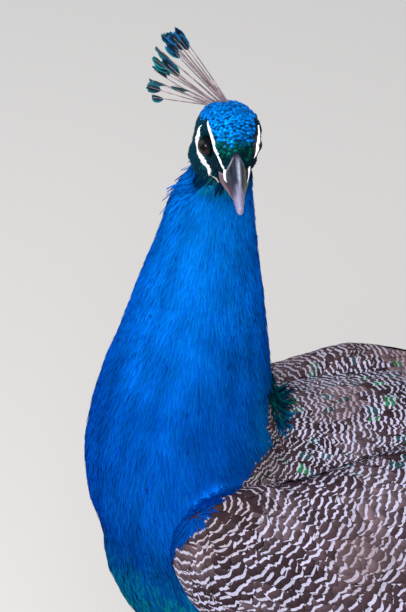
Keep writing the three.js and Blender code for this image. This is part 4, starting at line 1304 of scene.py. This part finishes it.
# ---- quills of the wings and tail
def quills(name, lines, normal, widths, colour, slot_name, replaced, seed):
    """Long quills with a raised shaft: lines (m, k, 3) and widths (m,) in bird mm, all facing along normal."""
    r = seeded(seed)
    m = len(lines)
    rows = np.concatenate([[0, 0.03], np.linspace(0.07, 0.93, 24), [0.97, 0.99, 1.0]])
    cols = np.array([-1, -0.8, -0.55, -0.3, -0.08, -0.04, 0.04, 0.08, 0.3, 0.55, 0.8, 1])
    ragged = 0.005 * r.normal(size=(m, 1, len(cols))) * rows[None, :, None]
    q = sample(np.asarray(lines, float), rows[None, :, None] * (1 - 0.04 * cols[None, None] ** 2) + ragged)
    t = unit(np.gradient(q, axis=1))
    side = unit(np.cross(t, np.asarray(normal, float)))
    k = unit(np.cross(side, t))
    form = np.interp(rows, [0, 0.06, 0.3, 0.85, 0.95, 1], [0.15, 0.5, 1, 1, 0.72, 0.16])
    half = np.asarray(widths, float)[:, None] / 2 * form[None]
    shaft = 0.9 * (np.abs(cols) < SHAFT) * (1 - 0.7 * rows[:, None])
    up = shaft[None] - 0.10 * half[..., None] * cols[None, None] ** 2
    p = q + side * (half[..., None] * cols[None, None])[..., None] + k * up[..., None]
    under = p[:, :, ::-1] - k[:, :, ::-1] * 0.7
    vm = mids(rows)[None, :, None] + np.zeros((m, 1, len(cols) - 1))
    um = mids(cols)[None, None] + 0 * vm
    c = colour(q[:, :-1, :-1], vm, um, r.random((m, 1, 1, 4)), r)
    place = ((np.arange(m) + 0.5) / m)[:, None, None] + cols[None, None] * 0.4 / m
    uv = pairs(place, 0.02 + 0.96 * rows[None, :, None])
    coat = Coat(name, MAT_QUILL, soft=0.0)
    coat.grid(p, c, uv)
    coat.grid(under, c[:, :, ::-1] * 0.8, uv[:, :, ::-1])
    return coat.finish(slot_name, replaced)


SHAFT = 0.05  # a quill's shaft, as a share of its half-width


def primary_colour(b, v, u, rand, r):
    streak = r.normal(1, 0.10, (v.shape[0], 1, v.shape[2]))
    c = mix("#a8622c", "#7c4420", np.abs(u)) * ((0.8 + 0.35 * rand[..., 0]) * streak)[..., None]
    # painted shade along both edges of each quill, where it meets the next one
    c = mix(c, "#241610", 0.85 * smooth(np.abs(u), 0.72, 0.95))
    c = mix(c, "#3a2418", 0.6 * smooth(v, 0.75, 1.0))
    return mix(c, "#d8b48a", 0.8 * (np.abs(u) < SHAFT))


for side, tag in SIDES:
    lines = []
    for i in range(8):
        root = np.array([4 - 6 * i, 93 - 1.5 * i, 342 - 4.2 * i])
        tip = np.array([-395 + 19 * i, 62 - 1.6 * i, 322 - 6.5 * i])
        s = np.linspace(0, 1, 8)[:, None]
        bow = np.array([0, 6.0, -7.0]) * (s * (1 - s) * 4)
        lines.append((root + (tip - root) * s + bow) * [1, side, 1])
    quills("primaries_" + tag + "_quills", lines, [0.0, side * 0.93, 0.35], 22 - 3 * (np.arange(8) / 7),
           primary_colour, "rufous_quills", "primaries_" + tag, 81 + side)


def tail_colour(b, v, u, rand, r):
    c = rgb("#4a392c") * (0.7 + 0.5 * rand[..., 0])[..., None] * (0.85 + 0.3 * r.random(v.shape))[..., None]
    c = mix(c, "#8a7458", 0.5 * (np.sin(v * 70 + 6 * rand[..., 1]) > 0.5) * (np.abs(u) > 0.1) * (v > 0.3))
    return mix(c, "#b09a78", 0.7 * (np.abs(u) < SHAFT))


lines = []
for i in range(12):
    u = (i - 5.5) / 5.5
    root = np.array([-200, 22 * u, 368 - 2 * abs(u)])
    tip = np.array([-606 + 30 * u * u, 50 * u, 230 + 5 * (1 - u * u) + 3 * (i % 2)])
    lines.append(root + (tip - root) * np.linspace(0, 1, 6)[:, None])
quills("tail_quills", lines, [0.0, 0.0, 1.0], [26] * 12, tail_colour, "tail_quills", "tail", 83)

# ---- the train
# The train's half-width at places along it, both in mm.
TRAIN_X = [-1430, -1330, -1200, -1000, -750, -500, -300, -170, -92]
TRAIN_HALF = [58, 92, 114, 130, 128, 108, 84, 62, 40]
train_v, train_f, _ = node_arrays(["train"])
train_cad = tree_of(train_v, train_f)


def make_train_base():
    v, tri = remeshed("train_source", train_v, train_f, TRAIN_VOXEL, 0.5, 4)
    v = v - normals_of(v, tri) * TRAIN_DEPTH
    v[:, 2] = np.maximum(v[:, 2], 0.0004)  # clear of the floor
    b = to_bird(v)
    c = mix("#2c3a1c", "#4a3a1c", 0.5 + 0.5 * wave(b, 70, 15))
    c = mix(c, "#5a4c3c", smooth(wave(b * [0.15, 1, 1], 7, 16), 0.2, 0.8) * 0.6)
    base = mesh_object("train_base", v, tri, MAT_TRAIN)
    corner_colours(base, (c * 0.7)[tri.ravel()])
    bake_map(base, train_spot(b[:, 1], b[:, 0])[tri.ravel()])
    done(base, "train_plumage", "train")


def train_spot(y, x):
    """A place on the train in the OFBake map."""
    return np.stack([(y + 160) / 320, (x + 1520) / 1450], -1)


TRAIN_VOXEL, TRAIN_DEPTH = 0.0055, 0.0016  # metres
make_train_base()


def train_top(x, y):
    """Height in bird mm of the train's upper side."""
    hit = train_cad.ray_cast(Vector(bird([x, y, 700])), Vector((0, 0, -1)))[0]
    if hit is None:
        hit = train_cad.find_nearest(Vector(bird([x, y, np.interp(x, [-1430, -92], [8, 450])])))[0]
    return float(to_bird(np.array(hit))[2])


BRONZE, LEAF, COPPER, TRAIN_SHAFT = (rgb(c) for c in ("#6a5a1e", "#2c7a34", "#8a4c1e", "#9c8c70"))
# An eye feather's rings from its middle outwards: radii as a share of its size, and the colours between.
EYE_RINGS = np.array([0, 0.2, 0.34, 0.46, 0.58, 0.72, 0.86, 0.94, 1.0, 1.1])
EYE_COLOURS = np.array([rgb(c) for c in ("#140a34", "#1a1050", "#0c62b0", "#12a0b4", "#9a5c1e", "#a8681e",
                                         "#a0a02a", "#4a7a2a", "#6a6a2a")])
EYE_ROWS, FIRST_EYE, EYE_STEP = 18, -215, 69  # rows of eyes: the first one's x and the mm between rows
LAST_EYE = -1330  # past this x feathers end in a plain fan
BARB_GAP = 4.4  # mm along the shaft


def eye_feather(line_end, along, across, up, size, spot, r):
    """The eye at a feather's tip: a rounded disc with a notch, as points, colours and map places."""
    a = np.linspace(0, 2 * math.pi, 33)
    rad = EYE_RINGS[:, None]
    notch = 1 - 0.3 * np.exp(-((a - math.pi) / 0.35) ** 2)
    rim = rad * np.where(rad < 0.4, notch[None], 1.0)
    px = -np.cos(a)[None] * rim * 1.22 * size
    py = np.sin(a)[None] * rim * size * (1 + 0.05 * np.cos(a))[None]
    p = line_end + up * 1.5 + along * -px[..., None] + across * py[..., None]
    p = p - up * (0.9 * rad**2 + 0 * px)[..., None]
    tone = EYE_COLOURS[:, None, :] * (0.85 + 0.3 * r.random((9, 32, 1)))
    return p[None], tone[None], (spot + 0.012 * np.stack([py / size, px / size], -1))[None]


def barb_row(root, along, across, up, at, side, plain, spot, r):
    """One side's barbs of a train feather, swept towards its tip, as points, colours and map places."""
    count = len(at)
    reach = (26 if plain else 30) * np.interp(at, [0, 0.8, 1], [1, 1, 0.75]) * r.uniform(0.85, 1.15, count)
    if plain:
        reach = reach * (1 + 0.9 * smooth(at, 0.75, 1.0))
    sweep = np.interp(at, [0, 1], [0.75, 0.95])[:, None, None]
    k = np.linspace(0, 1, 4)[None, :, None]
    bow = across[:, None] * side * (k - 0.28 * k**2) * np.cos(sweep) * 1.25
    run = along[:, None] * (k * 0.8 + 0.25 * k**2) * np.sin(sweep)
    drop = up[:, None] * (-0.10 * k**2 + 0.03 * r.normal(size=(count, 1, 1)) * k)
    mid = root[:, None] + (bow + run + drop) * reach[:, None, None]
    flat = unit(np.cross(unit(np.gradient(mid, axis=1)), up[:, None]))
    half = 1.15 * np.interp(k[0, :, 0], [0, 0.5, 1], [0.7, 1, 0.25])[None, :, None]
    p = np.stack([mid - flat * half, mid + flat * half], 2)
    p[..., 2] = np.maximum(p[..., 2], 0.3)
    tone = mix(LEAF, BRONZE, r.random((count, 1, 1)) * 0.8)
    tone = mix(tone, COPPER, smooth(k[:, 1:, 0], 0.5, 1.2)[..., None] * 0.6)
    tone = tone * r.uniform(0.55, 1.15, (count, 1, 1, 1))
    cell = spot + 0.012 * pairs(side * k[0] + np.zeros((1, 2)), 0.0)
    return p, np.broadcast_to(tone, (count, 3, 1, 3)), cell


def train_feathers():
    r = seeded(91)
    barbs, eyes = Coat("train_barbs", MAT_TRAIN, soft=0.0), Coat("train_eyes", MAT_TRAIN, soft=0.0)
    shafts = Coat("train_shafts", MAT_QUILL, soft=0.0)
    feathers = []
    for j in range(EYE_ROWS):
        n = 8 if j % 2 else 9
        for i in range(n):
            u = (i - (n - 1) / 2) / 4.2 * (0.96 if j < 16 else 0.9)
            feathers.append((j, FIRST_EYE - EYE_STEP * j + r.uniform(-20, 20), u + r.uniform(-0.03, 0.03)))
    for j, x_eye, u in feathers:
        plain = x_eye < LAST_EYE
        x_end = x_eye - (70 if plain else 0)
        xs = np.linspace(min(x_end + (200 if j else 120), -95), x_end, 24)
        ys = u * np.interp(xs, TRAIN_X, TRAIN_HALF) * 0.93 + 3 * np.sin(xs / 60 + 9 * u)
        zs = np.array([train_top(x, y) for x, y in zip(xs, ys)])
        s = np.linspace(0, 1, 24)
        line = np.stack([xs, ys, np.maximum(zs + 1.0 + 2.6 * s + (17 - j) * 0.12, 3.0)], -1)
        t = unit(np.gradient(line, axis=0))
        across = unit(np.cross(t, [0, 0, 1.0]))
        up = unit(np.cross(across, t))
        spot = train_spot(ys[-1], x_end)
        # the shaft
        w = np.interp(s, [0, 1], [0.9, 0.5])[:, None]
        cols = np.array([-1, 0, 1.0])
        p = line[:, None] + across[:, None] * (w * cols)[..., None]
        p = p + up[:, None] * (0.5 - 0.5 * np.abs(cols))[None, :, None]
        uv = spot + 0.01 * pairs(cols[None], s[:, None] * 3)
        shafts.grid(p[None], np.broadcast_to(TRAIN_SHAFT, (1, 23, 2, 3)) * r.uniform(0.7, 1.1), uv[None])
        # the barbs, in pairs
        at = np.linspace(0.02, 1.0, len(np.arange(0, abs(xs[0] - x_end), BARB_GAP)))
        root = sample(line[None], at[None])[0]
        ways = [unit(sample(q[None], at[None])[0]) for q in (t, across, up)]
        for side in (-1, 1):
            barbs.grid(*barb_row(root, *ways, at, side, plain, spot, r))
        if not plain:
            size = np.interp(x_eye, [-1350, -900, -350, -200], [17, 17.5, 15.5, 12]) * r.uniform(0.94, 1.06)
            eyes.grid(*eye_feather(line[-1], t[-1], across[-1], up[-1], size, spot, r))
    for coat in (barbs, eyes, shafts):
        coat.finish("train_plumage", "train")


train_feathers()

# ---- legs, feet, claws and spurs
def scaled_tube(path, radii, scutes, n=90, squash=1.0, depth=0.42):
    """A tube ringed by overlapping scutes: verts, quads and each ring's place on its scute, from 0 to 1."""
    s = np.linspace(0, 1, n)
    tooth = (s * scutes) % 1.0
    rad = np.interp(s, np.linspace(0, 1, len(radii)), radii) + depth * (tooth - 0.5)
    return *tube(spline(path, n), rad, LEG_AROUND, squash), tooth


LEG_AROUND, CLAW_RINGS, SPUR_RINGS = 20, 16, 14
STANCE = 14  # mm that the left leg is set forward and the right one back
LEG_TONE, CLAW_TONE, SPUR_TONE = rgb("#8f8272"), rgb("#4a423c"), rgb("#6a5f54")
# From the thigh to the ankle: the shank's middle line and its equally spaced radii, in mm on the left side.
SHANK = [[-47, 54, 179], [-47, 54, 160], [-30, 54, 118], [-8, 54, 62], [8, 54, 20]]
SHANK_RADII = [0.4, 7.8, 10, 10.8, 10.4, 9, 7.8, 7.2, 6.8, 6.6, 6.6, 6.6, 6.7, 6.9, 7.3, 8, 8.6]
ANKLE, SPUR_ROOT = np.array([8.0, 54.0, 17.0]), np.array([-10.0, 50, 62])
# Each toe: its name, degrees from straight ahead, length, radius and the length of its claw in mm.
TOES = [("inner", -24, 50, 5.6, 13), ("middle", 2, 70, 6, 15), ("outer", 27, 54, 5.4, 13),
        ("hind", 172, 27, 4.6, 11)]
TOE_RADII = np.array([1.25, 1.1, 0.96, 1, 0.8, 0.72])


def leg(side, tag):
    r = seeded(61 + side)

    def placed(v):
        return v * [1, side, 1] + [STANCE * side, 0, 0]

    def horn(name, path, radii, tone, fade, around, replaced):
        v, q = tube(spline(path, len(radii)), radii, around)
        v = placed(v)
        v[:, 2] = np.maximum(v[:, 2], 0.2)
        piece(name + "_horn", bird(v), q, MAT_HORN, tone * fade(len(q))[:, None], "horn", replaced)

    tubes = [scaled_tube(SHANK, SHANK_RADII, 30, squash=0.86)]
    for name, angle, long, rad, claw in TOES:
        way = np.array([math.cos(math.radians(angle)), math.sin(math.radians(angle)), 0.0])
        path = [ANKLE, ANKLE + way * long * 0.3 + [0, 0, -6], ANKLE + way * long * 0.62 + [0, 0, -10.4],
                ANKLE + way * long + [0, 0, -17 + rad * 0.9]]
        tubes.append(scaled_tube(path, rad * TOE_RADII, max(8, int(long / 3.4)), n=60, depth=0.35))
        tip = path[-1]
        bend = [tip - way * 3 + [0, 0, 1.0], tip + way * claw * 0.5 + [0, 0, 1.0],
                tip + way * (claw + 2) + [0, 0, -rad * 0.9 + 1.2]]
        name = "claw_" + name + "_" + tag
        horn(name, bend, np.linspace(rad * 0.55, 0.35, CLAW_RINGS), CLAW_TONE,
             lambda n: np.interp(np.arange(n) / n, [0, 1], [1.0, 0.45]), 12, name)
    tints, quads, count = [], [], 0
    for v, q, tooth in tubes:
        tone = np.interp(tooth, [0, 0.12, 0.5, 1], [0.45, 0.95, 1.0, 1.15])
        c = np.repeat(tone[:, None, None] * LEG_TONE, LEG_AROUND, axis=1).reshape(-1, 3)
        tints.append(c * (0.92 + 0.16 * r.random((len(c), 1))))
        quads.append(q + count)
        count += len(v)
    v, q = placed(np.vstack([v for v, _, _ in tubes])), np.vstack(quads)
    v[:, 2] = np.maximum(v[:, 2], 0.0)
    ob = mesh_object("leg_" + tag, bird(v), q, MAT_SCALES)
    corner_colours(ob, np.vstack(tints)[q.ravel()])
    done(ob, "leg_scales", "shank_" + tag, "foot_" + tag)
    horn("spur_" + tag, [SPUR_ROOT, SPUR_ROOT + [-9, -5, 3], SPUR_ROOT + [-22, -9, 10]],
         np.linspace(4.2, 0.4, SPUR_RINGS), SPUR_TONE, lambda n: np.linspace(1, 0.6, n), 14, "shank_" + tag)


for side, tag in SIDES:
    leg(side, tag)

# ---- stage, light and camera
VIEW_AZ, VIEW_EL = 75.0, 33.0  # degrees: from straight ahead towards the bird's left, and above the horizon
CAMERA_FROM = 3000.0  # mm to the middle of the view
SPAN = 0.6  # mm of the bird per pixel of the 406 x 612 frame
TALL = 612
AIM, AIM_RIGHT, AIM_UP = np.array([60.0, 0.0, 470.0]), -49.2, 59.4  # the view's middle, in bird mm
LIT = [60, 0, 450]  # what both lights point at
FLOOR_HALF = 24.0  # metres


def placed_object(name, data, at, facing):
    """A camera or light at a bird-mm place, looking along facing."""
    ob = bpy.data.objects.new(name, data)
    bpy.context.scene.collection.objects.link(ob)
    ob.location = bird(at)
    ob.rotation_mode = "QUATERNION"
    ob.rotation_quaternion = Vector(facing).to_track_quat("-Z", "Y")
    return ob


def camera():
    a, e = math.radians(VIEW_AZ), math.radians(VIEW_EL)
    back = np.array([math.cos(e) * math.cos(a), math.cos(e) * math.sin(a), math.sin(e)])
    right = np.array([-math.sin(a), math.cos(a), 0.0])
    aim = AIM + AIM_RIGHT * right + AIM_UP * np.cross(back, right)
    data = bpy.data.cameras.new("camera")
    data.sensor_width = 36
    data.lens = CAMERA_FROM / SPAN / TALL * 36
    data.clip_start, data.clip_end = 0.1, 50
    bpy.context.scene.camera = placed_object("camera", data, aim + back * CAMERA_FROM, -back)


def area_light(name, at, size, power, colour):
    data = bpy.data.lights.new(name, "AREA")
    data.size, data.energy, data.color = size, power, colour
    placed_object(name, data, at, Vector(bird(LIT)) - Vector(bird(at)))


def stage():
    m, nt, b = new_material("floor")
    noise = set_inputs(nt.nodes.new("ShaderNodeTexNoise"), Scale=40)
    ramp = nt.nodes.new("ShaderNodeValToRGB")
    ramp.color_ramp.elements[0].color = (0.60, 0.58, 0.56, 1)
    ramp.color_ramp.elements[1].color = (0.66, 0.64, 0.62, 1)
    nt.links.new(noise.outputs["Fac"], ramp.inputs["Fac"])
    nt.links.new(ramp.outputs["Color"], b.inputs["Base Color"])
    set_inputs(b, Roughness=0.9)
    corners = FLOOR_HALF * np.array([[-1, -1, 0], [1, -1, 0], [1, 1, 0], [-1, 1, 0]])
    ob = mesh_object("floor", corners, [[0, 1, 2, 3]], m)
    world = bpy.data.worlds.new("world")
    world.use_nodes = True
    set_inputs(world.node_tree.nodes["Background"], Color=(0.92, 0.95, 1.0, 1), Strength=0.62)
    bpy.context.scene.world = world
    area_light("key", [1000, 1700, 2200], 1.3, 88, (1, 0.98, 0.95))
    area_light("fill", [1500, -700, 1500], 1.8, 16, (0.9, 0.95, 1))
    bpy.context.scene.view_settings.view_transform = "Standard"


camera()
stage()
